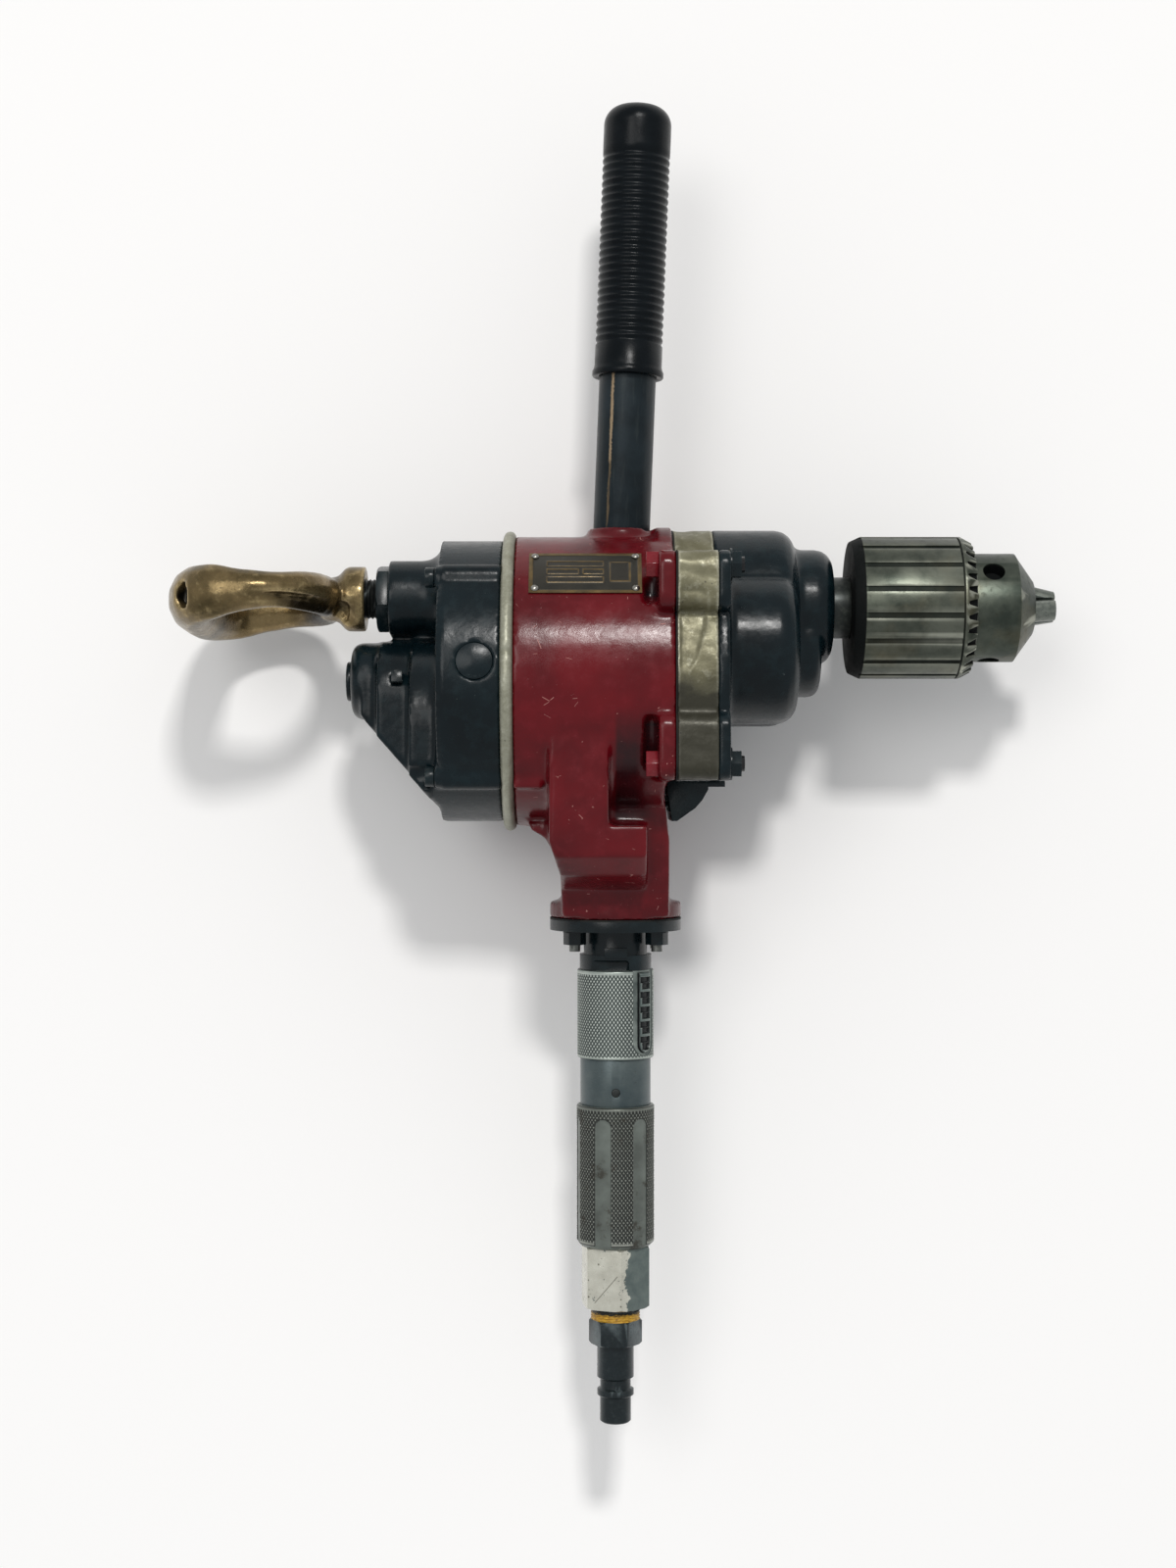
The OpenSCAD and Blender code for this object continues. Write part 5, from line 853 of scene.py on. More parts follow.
# the window is milled through the stop collar, with rounded corners at its top
bpy.ops.mesh.primitive_cube_add(size=1, location=at(-3.4, -163.9, 15.4))
window = bpy.context.object
bpy.ops.transform.resize(value=(0.0188, 0.0064, 0.006))
bpy.ops.object.transform_apply(location=True, rotation=True, scale=True)
apply_step(window, "BEVEL", width=0.0016, segments=4, limit_method="ANGLE")
apply_step(body, "BOOLEAN", operation="DIFFERENCE", object=window, solver="EXACT")
bpy.data.objects.remove(window)
pick(body)
bpy.ops.object.mode_set(mode="EDIT")
bpy.ops.mesh.select_all(action="SELECT")
bpy.ops.mesh.dissolve_limited(angle_limit=math.radians(0.5))
bpy.ops.object.mode_set(mode="OBJECT")
apply_step(body, "BEVEL", width=0.0006, segments=3, limit_method="ANGLE", angle_limit=math.radians(35))
pick(body)
bpy.ops.object.shade_smooth_by_angle(angle=math.radians(38))
body.data.materials.append(plain_dark)
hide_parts("throttle_body")
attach(body, "drill")
flange_nuts = machined("flange_nuts", "throttle_flange_nuts", 0.9, "drill", plain_dark,
                       segments=4)


# Throttle sleeve: a zinc grey steel sleeve, knurled all round, with a rounded thumb
# rib let into it. It turns on the handle to open the air.
def knurl_finish(name, node, crest_r, flank, low, crest, smooth, smooth_r, cloudy, grime=0.0, rough=0.36):
    """Knurled steel: painted shade in the cuts, light on the rubbed points, plain where it is milled."""
    f = Finish(name)
    radius = f.from_axis(Vector((handle_x, 0, handle_z)), (0, 1, 0))
    cloud = f.grain(13, detail=4, roughness=0.6)
    fine = f.grain(1.5, detail=5, roughness=0.7)
    down = f.sum("MULTIPLY", f.span(radius, crest_r - 0.00002, crest_r - 0.00026), f.span(radius, smooth_r, smooth_r + 0.0002))
    up = f.sum("MULTIPLY", f.span(radius, crest_r - 0.00012, crest_r - 0.00002), f.span(cloud, 0.3, 0.6, 0.45, 1))
    foot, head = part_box(node)
    between = f.sum("MULTIPLY", f.span(f.axis("Y"), head.y - 0.0012, head.y - 0.0018),
                    f.span(f.axis("Y"), foot.y + 0.0008, foot.y + 0.0014))
    up = f.sum("MULTIPLY", up, f.sum("MAXIMUM", between, 0.12))
    colour = f.blend(f.span(cloud, 0.35, 0.66), flank, cloudy)
    # the cuts take the low colour, as painted shade in the knurl's valleys
    colour = f.blend(down, colour, low)
    colour = f.blend(f.sum("MULTIPLY", up, 0.6), colour, crest)
    plain = f.span(radius, smooth_r + 0.0001, smooth_r)
    colour = f.blend(plain, colour, f.blend(f.span(cloud, 0.35, 0.66), smooth, cloudy))
    dirt = f.sum("MULTIPLY", f.span(f.grain(8, detail=5, roughness=0.65), 0.56, 0.66), grime)
    colour = f.blend(dirt, colour, shade(48, 42, 33))
    return f.done(colour, f.sum("ADD", f.span(cloud, 0.3, 0.7, rough - 0.05, rough + 0.07), f.sum("MULTIPLY", dirt, 0.2)),
                  metal=0.45, normal=f.relief(fine, 0.03))


# the milled flat round the thumb rib takes a darker smooth colour, as painted shade in that recess
grey_steel = knurl_finish("grey_knurled_steel", "throttle_sleeve", 0.0175, flank=shade(158, 167, 160),
                          low=shade(66, 74, 72), crest=shade(226, 230, 223), smooth=shade(62, 72, 71),
                          smooth_r=0.0168, cloudy=shade(142, 151, 145))


def knurled_tube(name, low_y, high_y, skin_r, bore_r, plain_top, plain_foot, columns=62, pitch=0.00245,
                 depth=0.00045, top_edge=0.0006, foot_edge=0.0006):
    """A sleeve rolled with a diamond knurl between two plain ends."""
    length = high_y - low_y
    bpy.ops.mesh.primitive_cylinder_add(vertices=columns * 6, radius=skin_r, depth=length,
                                        end_fill_type="NOTHING", rotation=(math.pi / 2, 0, 0),
                                        location=(handle_x, (low_y + high_y) / 2, handle_z))
    tube = bpy.context.object
    tube.name = name
    bpy.ops.object.transform_apply(location=True, rotation=True, scale=True)
    bpy.ops.object.mode_set(mode="EDIT")
    mesh = bmesh.from_edit_mesh(tube.data)
    for edge in mesh.edges:
        edge.select = abs(edge.verts[0].co.y - edge.verts[1].co.y) > length / 2
    bpy.ops.mesh.subdivide(number_cuts=int(round(length / (pitch / 6))) - 1)
    bpy.ops.object.mode_set(mode="OBJECT")
    points = points_of(tube)
    turn = np.arctan2(points[:, 0] - handle_x, points[:, 2] - handle_z)
    down = high_y - points[:, 1]
    first = turn / math.tau * columns + down / pitch
    second = turn / math.tau * columns - down / pitch
    lines = np.maximum(1 - 3.2 * np.abs(first % 1 - 0.5), 1 - 3.2 * np.abs(second % 1 - 0.5)).clip(0, 1)
    plain = np.clip(np.minimum(down - plain_top, length - down - plain_foot) / 0.0005, 0, 1)
    radius = skin_r - depth * lines * plain
    radius = np.minimum(radius, skin_r - np.clip(top_edge - down, 0, 1))
    radius = np.minimum(radius, skin_r - np.clip(foot_edge - (length - down), 0, 1))
    points[:, 0] = handle_x + radius * np.sin(turn)
    points[:, 2] = handle_z + radius * np.cos(turn)
    move_points(tube, points)
    return tube, turn, down


def close_tube(tube, low_y, high_y, bore_r):
    """Turns the ends of a sleeve in to its bore, and the bore down through it."""
    pick(tube)
    bpy.ops.object.mode_set(mode="EDIT")
    for end in (high_y, low_y):
        mesh = bmesh.from_edit_mesh(tube.data)
        bpy.ops.mesh.select_all(action="DESELECT")
        for edge in mesh.edges:
            edge.select = edge.is_boundary and abs(edge.verts[0].co.y - end) < 0.0003
        bpy.ops.mesh.extrude_edges_move()
        mesh = bmesh.from_edit_mesh(tube.data)
        for vertex in mesh.verts:
            if vertex.select:
                flat = Vector((vertex.co.x - handle_x, 0, vertex.co.z - handle_z)).normalized() * bore_r
                vertex.co = Vector((handle_x + flat.x, end, handle_z + flat.z))
    mesh = bmesh.from_edit_mesh(tube.data)
    bpy.ops.mesh.select_all(action="DESELECT")
    for edge in mesh.edges:
        edge.select = edge.is_boundary
    bpy.ops.mesh.bridge_edge_loops()
    bpy.ops.mesh.select_all(action="SELECT")
    bpy.ops.mesh.normals_make_consistent(inside=False)
    bpy.ops.object.mode_set(mode="OBJECT")
    bpy.ops.object.shade_smooth_by_angle(angle=math.radians(60))


sleeve_low, sleeve_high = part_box("throttle_sleeve")
sleeve, turn, down = knurled_tube("throttle_sleeve_knurled", sleeve_low.y, sleeve_high.y, 0.0175, 0.01355,
                                  0.0017, 0.0009, top_edge=0.0005, foot_edge=0.0004)
# a shallow flat is milled round the rib
points = points_of(sleeve)
rib_turn = math.radians(50)
off = np.abs(turn - rib_turn) * 17.5
end = np.clip((down * 1000 - 31.6), 0, 99)
reach = np.hypot(off, end)
radius = np.hypot(points[:, 0] - handle_x, points[:, 2] - handle_z)
cut = np.clip((7.3 - reach) / 0.5, 0, 1)
radius = radius * (1 - cut) + np.minimum(radius, 0.01655) * cut
points[:, 0] = handle_x + radius * np.sin(turn)
points[:, 2] = handle_z + radius * np.cos(turn)
move_points(sleeve, points)
close_tube(sleeve, sleeve_low.y, sleeve_high.y, 0.01355)
sleeve.data.materials.append(grey_steel)
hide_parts("throttle_sleeve")
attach(sleeve, "throttle")

# the rib is one long rounded bar with five thumb pockets
rib_len = 0.0368
rib_mid = Vector((handle_x + 0.0167 * math.sin(rib_turn), sleeve_high.y - 0.0012 - rib_len / 2,
                  handle_z + 0.0167 * math.cos(rib_turn)))
bpy.ops.mesh.primitive_grid_add(x_subdivisions=40, y_subdivisions=170, size=1)
rib = bpy.context.object
rib.name = "throttle_thumb_rib"
flat = points_of(rib) * 2
across = flat[:, 0] * 4.15
along = (flat[:, 1] + 1) / 2 * rib_len * 1000
end = np.clip(along - (rib_len * 1000 - 4.15), 0, 99)
side = np.hypot(across, end)
over = np.clip(side - 4.15, 0, 99)
across = across * np.where(side > 4.15, 4.15 / np.maximum(side, 1e-6), 1)
along = np.where(side > 4.15, rib_len * 1000 - 4.15 + end * 4.15 / np.maximum(side, 1e-6), along)
side = np.minimum(side, 4.15)
height = 1.95 * np.sqrt(np.clip(1 - (side / 4.16) ** 3.2, 0, 1))
height *= np.clip((along + 0.4) / 1.2, 0, 1) ** 0.5
pocket_w = 3.3
for k in range(5):
    y0 = 2.1 + k * 6.75
    y1 = y0 + (5.55 if k < 4 else 6.3)
    upper = np.minimum(np.minimum(along - y0, y0 + 2.7 - along), pocket_w - np.abs(across))
    lower = np.minimum(np.minimum(along - y0 - 3.0, y1 - along), pocket_w - np.maximum(across, -across + 0.7))
    if k == 4:
        lower = np.minimum(lower, 2.9 - np.hypot(across - 0.3, np.clip(along - (y1 - 2.7), 0, 99)))
    between_them = np.minimum(np.minimum(along - y0, y1 - along), pocket_w - 0.5 - np.abs(across - 0.2))
    height -= 1.5 * np.clip((np.maximum(upper, lower) + 0.15) / 0.5, 0, 1)
    height = np.minimum(height, 1.95 - 1.05 * np.clip((between_them + 0.15) / 0.5, 0, 1))
height = height.clip(-0.2, 1.95)
rise = 16.55 + height
lean_in = across / 17.5
place = np.stack([handle_x + rise / 1000 * np.sin(rib_turn + lean_in),
                  sleeve_high.y - 0.0008 - along / 1000,
                  handle_z + rise / 1000 * np.cos(rib_turn + lean_in)], 1)
move_points(rib, place)
pick(rib)
bpy.ops.object.mode_set(mode="EDIT")
bpy.ops.mesh.select_all(action="SELECT")
bpy.ops.mesh.remove_doubles(threshold=0.00002)
mesh = bmesh.from_edit_mesh(rib.data)
bpy.ops.mesh.select_all(action="DESELECT")
for edge in mesh.edges:
    edge.select = edge.is_boundary
bpy.ops.mesh.extrude_edges_move()
mesh = bmesh.from_edit_mesh(rib.data)
for vertex in mesh.verts:
    if vertex.select:
        flat = Vector((vertex.co.x - handle_x, 0, vertex.co.z - handle_z)).normalized() * 0.0158
        vertex.co = Vector((handle_x + flat.x, vertex.co.y, handle_z + flat.z))
bpy.ops.mesh.edge_face_add()
bpy.ops.mesh.select_all(action="SELECT")
bpy.ops.mesh.normals_make_consistent(inside=False)
bpy.ops.object.mode_set(mode="OBJECT")
bpy.ops.object.shade_smooth_by_angle(angle=math.radians(50))
f = Finish("thumb_rib_steel")
radius = f.from_axis(Vector((handle_x, 0, handle_z)), (0, 1, 0))
cloud = f.grain(7, detail=5, roughness=0.65)
colour = f.blend(f.span(cloud, 0.35, 0.66), shade(102, 114, 111), shade(82, 93, 91))
# painted highlight along the rib's edges
colour = f.blend(f.edges(0.52, 0.6), colour, shade(180, 188, 182))
# painted shade: the pockets and the low flanks of the rib go nearly black
colour = f.blend(f.span(radius, 0.0180, 0.0175), colour, shade(14, 20, 21))
rib_steel = f.done(colour, f.span(cloud, 0.3, 0.7, 0.3, 0.42), metal=0.45,
                   normal=f.relief(f.grain(1.3, detail=4), 0.03))
rib.data.materials.append(rib_steel)
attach(rib, "throttle")


# Valve and drive pin: the bronze valve is a tight turning fit inside the handle, and
# the steel pin through it joins it to the sleeve.
dress("throttle_valve", bush_bronze)
dress("drive_pin", ground_steel)


# Smooth collar, its grub screw and the knurled grip: turned steel, grey and hand
# worn. The grip has six ground flutes, which end in arches below its upper rim.
f = Finish("blued_collar_steel")
cloud = f.grain(12, detail=5)
fine = f.grain(1.4, detail=5, roughness=0.7)
lines = f.grain(2.5, detail=3, where=f.moved(stretch=(1, 9, 1)))
colour = f.blend(f.span(cloud, 0.35, 0.7), shade(66, 78, 81), shade(86, 96, 96))
colour = f.blend(f.span(fine, 0.6, 0.75, 0, 0.6), colour, shade(52, 52, 50))
colour = f.blend(f.span(lines, 0.55, 0.75, 0, 0.15), colour, shade(128, 136, 134))
blued_steel = f.done(colour, f.span(cloud, 0.3, 0.7, 0.28, 0.4), metal=0.5,
                     normal=f.relief(lines, 0.04, below=f.relief(fine, 0.04)))
smooth_collar = machined("smooth_collar", "smooth_handle_collar", 0.5, "drill", blued_steel)
collar_screw = machined("collar_screw", "collar_grub_screw", 0.3, "drill", dark_steel)

soiled_steel = knurl_finish("soiled_knurled_steel", "knurled_grip", 0.0178, flank=shade(104, 108, 101),
                            low=shade(42, 45, 42), crest=shade(190, 192, 182), smooth=shade(112, 119, 113),
                            smooth_r=0.01722, cloudy=shade(88, 93, 88), grime=0.7, rough=0.38)
grip_low, grip_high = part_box("knurled_grip")
lower_grip, turn, down = knurled_tube("knurled_handle_grip", grip_low.y, grip_high.y, 0.0178, 0.01352,
                                      0.0013, 0.0030, foot_edge=0.0021, pitch=0.00225)
points = points_of(lower_grip)
radius = np.hypot(points[:, 0] - handle_x, points[:, 2] - handle_z)
for k in range(6):
    middle = math.radians(k * 60 - 20)
    off = (turn - middle + math.pi) % math.tau - math.pi
    arch = 0.0050 + 0.0040 * (1 - np.sqrt(np.clip(1 - (off * 17.8 / 4.1) ** 2, 0, 1)))
    inside = np.clip((4.1 - np.abs(off) * 17.8) / 0.35, 0, 1) * np.clip((down - arch) / 0.0006, 0, 1)
    radius = radius * (1 - inside) + np.minimum(radius, 0.01708) * inside
points[:, 0] = handle_x + radius * np.sin(turn)
points[:, 2] = handle_z + radius * np.cos(turn)
move_points(lower_grip, points)
close_tube(lower_grip, grip_low.y, grip_high.y, 0.01352)
lower_grip.data.materials.append(soiled_steel)
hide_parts("knurled_grip")
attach(lower_grip, "drill")


# Inlet hexagon: steel, once nickel plated. The plating has peeled off one side, where
# the steel is dull and dark, and is pitted and scored on the others.
f = Finish("peeled_plating")
place = f.add("ShaderNodeSeparateXYZ", Vector=f.place)
fine = f.grain(1.0, detail=5, roughness=0.7)
near = f.grain(6.5, detail=5, roughness=0.6)
edge_x = f.sum("SUBTRACT", place.outputs["X"], handle_x)
wander = f.span(near, 0.3, 0.7, 0.0030, 0.0068)
peel = f.span(f.sum("SUBTRACT", edge_x, wander), -0.00015, 0.00025)
peel = f.sum("MAXIMUM", peel, f.span(f.grain(2.6, detail=5, roughness=0.7, where=f.moved(offset=(1, 2, 3))),
                                     0.64, 0.67))
line = f.sum("SUBTRACT", edge_x, f.span(place.outputs["Y"], at(0, -318, 0).y, at(0, -302, 0).y, -0.0107, 0.0022))
score = f.tree.nodes.new("ShaderNodeMath")
score.operation = "ABSOLUTE"
f.put(score.inputs[0], line)
score = f.sum("MULTIPLY", f.span(score.outputs[0], 0.00032, 0.00012),
              f.span(place.outputs["Z"], handle_z + 0.010, handle_z + 0.011))
score = f.sum("MULTIPLY", score, f.sum("MULTIPLY", f.span(place.outputs["Y"], at(0, -316.8, 0).y, at(0, -316.4, 0).y),
                                       f.span(place.outputs["Y"], at(0, -303.6, 0).y, at(0, -304, 0).y)))
marks = f.sum("MAXIMUM", score, f.span(f.pits(3.6), 0.15, 0.1))
colour = f.blend(f.span(near, 0.3, 0.7), shade(190, 188, 175), shade(214, 213, 200))
colour = f.blend(f.sum("MULTIPLY", marks, 0.8), colour, shade(92, 88, 76))
# painted shade: a darker line along the corners of the hexagon marks its facets
colour = f.blend(f.sum("MULTIPLY", f.edges(0.52, 0.57), 0.6), colour, shade(112, 108, 92))
colour = f.blend(peel, colour, f.blend(f.span(near, 0.35, 0.65), shade(86, 98, 96), shade(106, 117, 113)))
worn_plating = f.done(colour, f.sum("ADD", f.span(fine, 0.3, 0.7, 0.2, 0.3), f.span(peel, 0, 1, 0, 0.16)),
                      metal=f.span(peel, 0, 1, 0.5, 0.4),
                      normal=f.relief(f.span(peel, 0, 1, 1, 0), 0.08, below=f.relief(fine, 0.04)))
inlet_hex = machined("inlet_hex", "air_inlet_hexagon", 0.7, "drill", worn_plating,
                     angle=28, segments=3)
strainer_brass = worked_metal("strainer_brass", shade(160, 132, 74), shade(214, 190, 124), shade(88, 72, 42))
dress("air_strainer", strainer_brass)


# Thread sealant: yellow yarn wound over the pipe thread of the air plug, with a dark
# turn of thread showing above it. It is squeezed out unevenly between the hexagons.
seal_low, seal_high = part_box("thread_sealant")
bpy.ops.mesh.primitive_cylinder_add(vertices=144, radius=0.0111, depth=seal_high.y - seal_low.y,
                                    end_fill_type="NOTHING", rotation=(math.pi / 2, 0, 0),
                                    location=(handle_x, (seal_low.y + seal_high.y) / 2, handle_z))
yarn = bpy.context.object
yarn.name = "wound_thread_sealant"
bpy.ops.object.transform_apply(location=True, rotation=True, scale=True)
bpy.ops.object.mode_set(mode="EDIT")
mesh = bmesh.from_edit_mesh(yarn.data)
for edge in mesh.edges:
    edge.select = abs(edge.verts[0].co.y - edge.verts[1].co.y) > 0.004
bpy.ops.mesh.subdivide(number_cuts=47)
bpy.ops.object.mode_set(mode="OBJECT")
points = points_of(yarn)
turn = np.arctan2(points[:, 0] - handle_x, points[:, 2] - handle_z)
down = (seal_high.y - points[:, 1]) * 1000
strand = (down + 0.5 * np.sin(2 * turn + 1) + 0.25 * np.sin(5 * turn) - 1.3 * turn / math.tau) / 1.25
ply = 0.5 + 0.5 * np.sin(strand * math.tau)
twist = 0.5 + 0.5 * np.sin(turn * 60 + strand * 9)
radius = 0.01085 + 0.00034 * ply + 0.0001 * twist * ply
radius -= 0.00035 * np.clip((2.0 + 0.4 * np.sin(3 * turn) - down) / 0.5, 0, 1)
points[:, 0] = handle_x + radius * np.sin(turn)
points[:, 2] = handle_z + radius * np.cos(turn)
move_points(yarn, points)
close_tube(yarn, seal_low.y, seal_high.y, 0.01073)
f = Finish("yellow_thread_sealant")
place = f.add("ShaderNodeSeparateXYZ", Vector=f.place)
fibres = f.grain(1.8, detail=5, roughness=0.7, where=f.moved(stretch=(1, 3, 1)))
dark = f.span(f.sum("ADD", place.outputs["Y"], f.span(fibres, 0.3, 0.7, -0.0008, 0.0008)), seal_high.y - 0.0030, seal_high.y - 0.0024)
dark = f.sum("MAXIMUM", dark, f.span(fibres, 0.6, 0.68))
colour = f.blend(f.span(fibres, 0.35, 0.6), shade(206, 164, 46), shade(150, 106, 20))
sealant = f.done(f.blend(dark, colour, shade(26, 26, 20)), f.span(fibres, 0.3, 0.7, 0.42, 0.6),
                 normal=f.relief(fibres, 0.15))
yarn.data.materials.append(sealant)
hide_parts("thread_sealant")
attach(yarn, "drill")


# Air plug: a hardened steel plug, blued nearly black, that the hose coupling grips by
# its groove. The ridges are rubbed bright.
plug_steel = worked_metal("blued_plug_steel", shade(34, 43, 46), shade(92, 102, 104), shade(16, 20, 21),
                          rough=0.3, scratch=0.8, metal=0.5, stain=0.35)
plug = machined("air_plug", "air_coupling_plug", 0.35, "drill", plug_steel, angle=28)


# Spindle: forged steel, dark and oily where it leaves the gear case, with two flats
# for a wrench. Its gear and bearing ring sit inside the case.
dress("spindle_gear", ground_steel)
dress("spindle_bearing_inner", ground_steel)
oily_steel = worked_metal("oily_spindle_steel", shade(30, 36, 37), shade(112, 116, 106), shade(16, 18, 18),
                          rough=0.34, scratch=0.8, metal=0.5)
spindle = machined("spindle", "drill_spindle", 0.5, "spindle", oily_steel)


# Chuck body and nose: a steel chuck, blued once, now mottled grey and brown with old stains. Its edges are painted
# light, partly rubbed bright and partly as a painted highlight, and its bores and rear face are painted black as
# painted shade.
def chuck_metal(name, coat, bare, stain, dark, gloss=0.37):
    """Blued steel stained by coolant and rubbed bare; its edges are painted light as wear and painted highlight, its
    inside corners darker, and what the dark mask marks is painted black as painted shade.
    """
    f = Finish(name)
    cloud = f.grain(15, detail=5, roughness=0.6)
    spots = f.grain(3.2, detail=5, roughness=0.7, where=f.moved(offset=(4, 1, 7)))
    fine = f.grain(0.9, detail=5, roughness=0.7)
    colour = f.blend(f.span(cloud, 0.36, 0.66), coat, bare)
    colour = f.blend(f.span(spots, 0.58, 0.7, 0, 0.4), colour, stain)
    colour = f.blend(f.span(f.grain(22, detail=3), 0.52, 0.72, 0, 0.3), colour, shade(104, 92, 64))
    # wear and painted highlight: the edges go light
    colour = f.blend(f.sum("MULTIPLY", f.edges(0.52, 0.6), f.span(cloud, 0.3, 0.6, 0.3, 0.8)), colour,
                     shade(172, 174, 160))
    colour = f.blend(f.sum("MULTIPLY", f.corners(0.49, 0.42), 0.75), colour, shade(22, 25, 24))
    # painted shade: the holes, gaps and rear face go black
    black = dark(f)
    colour = f.blend(black, colour, shade(10, 13, 13))
    rough = f.sum("ADD", f.span(cloud, 0.3, 0.7, gloss - 0.05, gloss + 0.07), f.span(spots, 0.5, 0.7, 0, 0.12))
    rough = f.sum("ADD", rough, f.sum("MULTIPLY", black, 0.3))
    return f.done(colour, rough, metal=f.span(black, 0, 1, 0.85, 0.0),
                  normal=f.relief(spots, 0.03, below=f.relief(fine, 0.03)), Specular_IOR_Level=0.1)


def along_spindle(f, x_low, x_high, blur=0.3):
    """One between two stations along the spindle, in millimetres of the drill."""
    x = f.axis("X")
    return f.sum("MULTIPLY", f.span(x, at(x_low - blur, 0, 0).x, at(x_low + blur, 0, 0).x),
                 f.span(x, at(x_high + blur, 0, 0).x, at(x_high - blur, 0, 0).x))


def nose_hole_shade(f):
    """Painted shade: the walls of the three pilot holes for the chuck key, the mouth between the jaws and the rear of
    the chuck.
    """
    radius = f.from_axis(at(0, 0, 0), (1, 0, 0))
    pilots = f.sum("MULTIPLY", f.span(radius, 0.0244, 0.0239), along_spindle(f, 163, 181))
    mouth = f.sum("MULTIPLY", f.span(radius, 0.0102, 0.0096), along_spindle(f, 182, 192))
    rear = along_spindle(f, 100, 113.5, 0.2)
    return f.sum("MAXIMUM", f.sum("MAXIMUM", pilots, mouth), rear)


chuck_steel = chuck_metal("stained_chuck_steel", shade(54, 61, 55), shade(80, 86, 77), shade(44, 44, 34),
                          nose_hole_shade)
chuck_body = machined("chuck_body", "chuck_body_and_nose", 0.7, "spindle", chuck_steel,
                      segments=3)
dress("chuck_nut", ground_steel)


# Chuck sleeve: the turning sleeve with ground lands round it for grip, and bevel teeth for the chuck key. Its rear is
# painted dark as painted shade, behind a rim of brown.
def sleeve_shadows(f):
    """Painted shade: the gaps between the key teeth, the grooves between the lands and the rear."""
    radius = f.from_axis(at(0, 0, 0), (1, 0, 0))
    bevel = f.span(f.axis("X"), at(157.2, 0, 0).x, at(162, 0, 0).x, 0.0325, 0.0299)
    gaps = f.sum("MULTIPLY", f.span(f.sum("SUBTRACT", bevel, radius), 0.0005, 0.0011),
                 along_spindle(f, 156.3, 161.9, 0.05))
    grooves = f.sum("MULTIPLY", f.span(radius, 0.03225, 0.0320), along_spindle(f, 112.5, 157))
    rear = along_spindle(f, 100, 111.7, 0.15)
    return f.sum("MAXIMUM", f.sum("MAXIMUM", gaps, f.sum("MULTIPLY", grooves, 0.6)), rear)


ribbed_steel = chuck_metal("ribbed_sleeve_steel", shade(48, 54, 48), shade(70, 75, 66), shade(42, 40, 31),
                           sleeve_shadows, gloss=0.35)
chuck_sleeve = machined("chuck_sleeve", "chuck_turning_sleeve", 0.3, "chuck_sleeve", ribbed_steel,
                        angle=30)


# Jaws: three hardened steel jaws, ground grey, worn bright at the tips that grip the
# drill bit.
jaw_steel = worked_metal("hardened_jaw_steel", shade(66, 74, 70), shade(150, 154, 144), shade(26, 28, 25),
                         rough=0.3, scratch=0.8, metal=0.5)
for number in (1, 2, 3):
    machined("jaw_%d" % number, "chuck_jaw_%d" % number, 0.25, "jaw_%d" % number, jaw_steel,
             segments=1)


# Floor: a plain pale board under the drill, a little warm, which takes the soft shadow. Its colour is painted lighter
# towards -Y, away from the lamps, as painted light that evens out their fall-off. The world round it is white to the
# camera.
bpy.ops.mesh.primitive_plane_add(size=6, location=(0, 0, 0))
floor = bpy.context.object
floor.name = "pale_floor"
board = bpy.data.materials.new("pale_board")
board.use_nodes = True
skin = board.node_tree.nodes["Principled BSDF"]
where = board.node_tree.nodes.new("ShaderNodeTexCoord")
split = board.node_tree.nodes.new("ShaderNodeSeparateXYZ")
board.node_tree.links.new(where.outputs["Object"], split.inputs[0])
# painted light: the board's colour runs from lighter at -Y to darker at +Y
painted_light_ramp = board.node_tree.nodes.new("ShaderNodeMapRange")
painted_light_ramp.inputs["From Min"].default_value = -0.4
painted_light_ramp.inputs["From Max"].default_value = 0.4
painted_light_ramp.inputs["To Min"].default_value = 0.985
painted_light_ramp.inputs["To Max"].default_value = 0.885
board.node_tree.links.new(split.outputs["Y"], painted_light_ramp.inputs["Value"])
tint = board.node_tree.nodes.new("ShaderNodeMix")
tint.data_type = "RGBA"
tint.blend_type = "MULTIPLY"
tint.inputs[0].default_value = 1.0
tint.inputs[7].default_value = (1.0, 0.992, 0.984, 1)
board.node_tree.links.new(painted_light_ramp.outputs[0], tint.inputs[6])
board.node_tree.links.new(tint.outputs[2], skin.inputs["Base Color"])
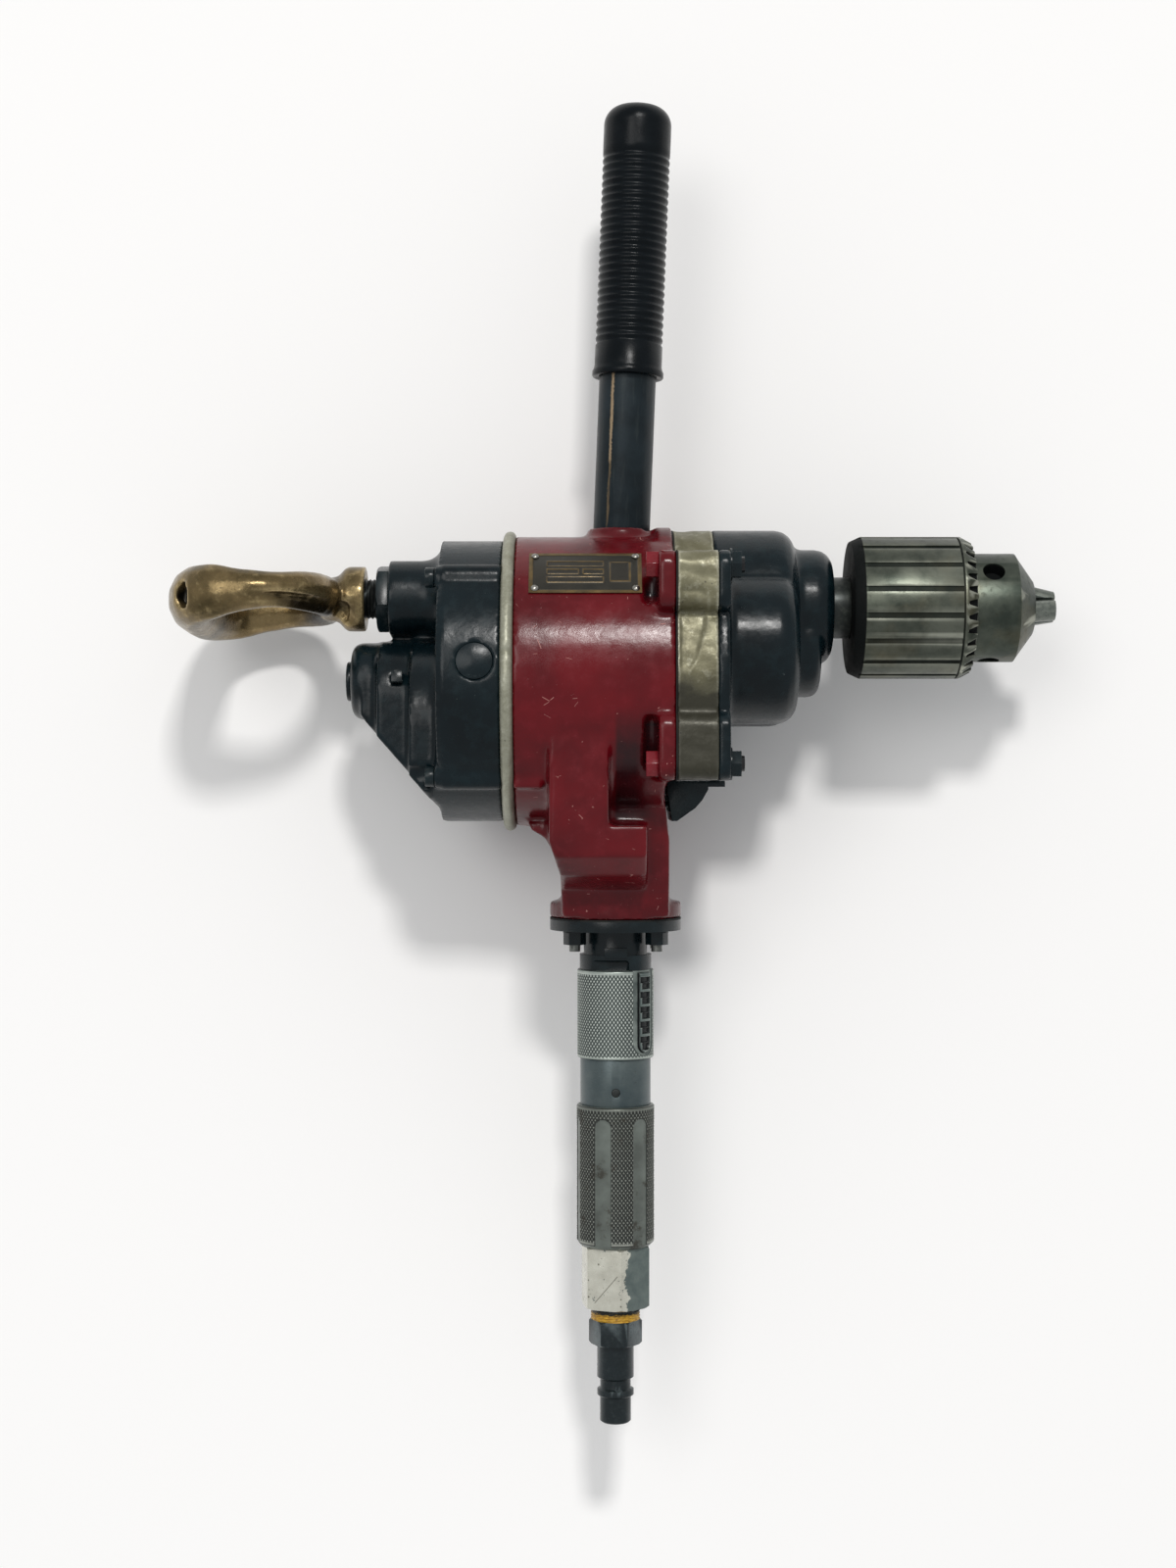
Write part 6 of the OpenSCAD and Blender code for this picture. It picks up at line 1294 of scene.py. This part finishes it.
skin.inputs["Roughness"].default_value = 0.9
skin.inputs["Specular IOR Level"].default_value = 0.1
floor.data.materials.append(board)

world = bpy.data.worlds.new("studio")
bpy.context.scene.world = world
world.use_nodes = True
tree = world.node_tree
tree.nodes.clear()
way = tree.nodes.new("ShaderNodeLightPath")
soft = tree.nodes.new("ShaderNodeBackground")
soft.inputs["Color"].default_value = (0.97, 0.985, 1.0, 1)
soft.inputs["Strength"].default_value = 0.55
plain = tree.nodes.new("ShaderNodeBackground")
plain.inputs["Color"].default_value = (1, 1, 1, 1)
plain.inputs["Strength"].default_value = 1.0
mix = tree.nodes.new("ShaderNodeMixShader")
out = tree.nodes.new("ShaderNodeOutputWorld")
tree.links.new(way.outputs["Is Camera Ray"], mix.inputs[0])
tree.links.new(soft.outputs[0], mix.inputs[1])
tree.links.new(plain.outputs[0], mix.inputs[2])
tree.links.new(mix.outputs[0], out.inputs["Surface"])


# Lamps and camera: two soft lamps above, one beyond the dead handle and one to the
# left, and a camera that looks straight down on the drill.
def soft_lamp(name, place, aim, size, power, colour):
    bpy.ops.object.light_add(type="AREA", location=place)
    lamp = bpy.context.object
    lamp.name = name
    lamp.data.shape = "RECTANGLE"
    lamp.data.size = size[0]
    lamp.data.size_y = size[1]
    lamp.data.energy = power
    lamp.data.color = colour
    lamp.rotation_euler = (Vector(aim) - Vector(place)).to_track_quat("-Z", "Y").to_euler()


soft_lamp("key_lamp", (0.33, 2.2, 3.2), (0, 0, 0.05), (0.45, 0.36), 67, (1.0, 0.985, 0.965))
soft_lamp("side_lamp", (-1.3, 1.0, 3.5), (0, 0, 0.05), (1.6, 1.6), 26, (1.0, 0.985, 0.965))
bpy.ops.object.camera_add(location=(-0.01205, -0.0093, 1.1486), rotation=(0, 0, 0))
camera = bpy.context.object
camera.name = "camera"
camera.data.sensor_fit = "VERTICAL"
camera.data.sensor_height = 36
camera.data.lens = 54
camera.data.clip_end = 20
bpy.context.scene.camera = camera
bpy.context.scene.view_settings.view_transform = "Standard"
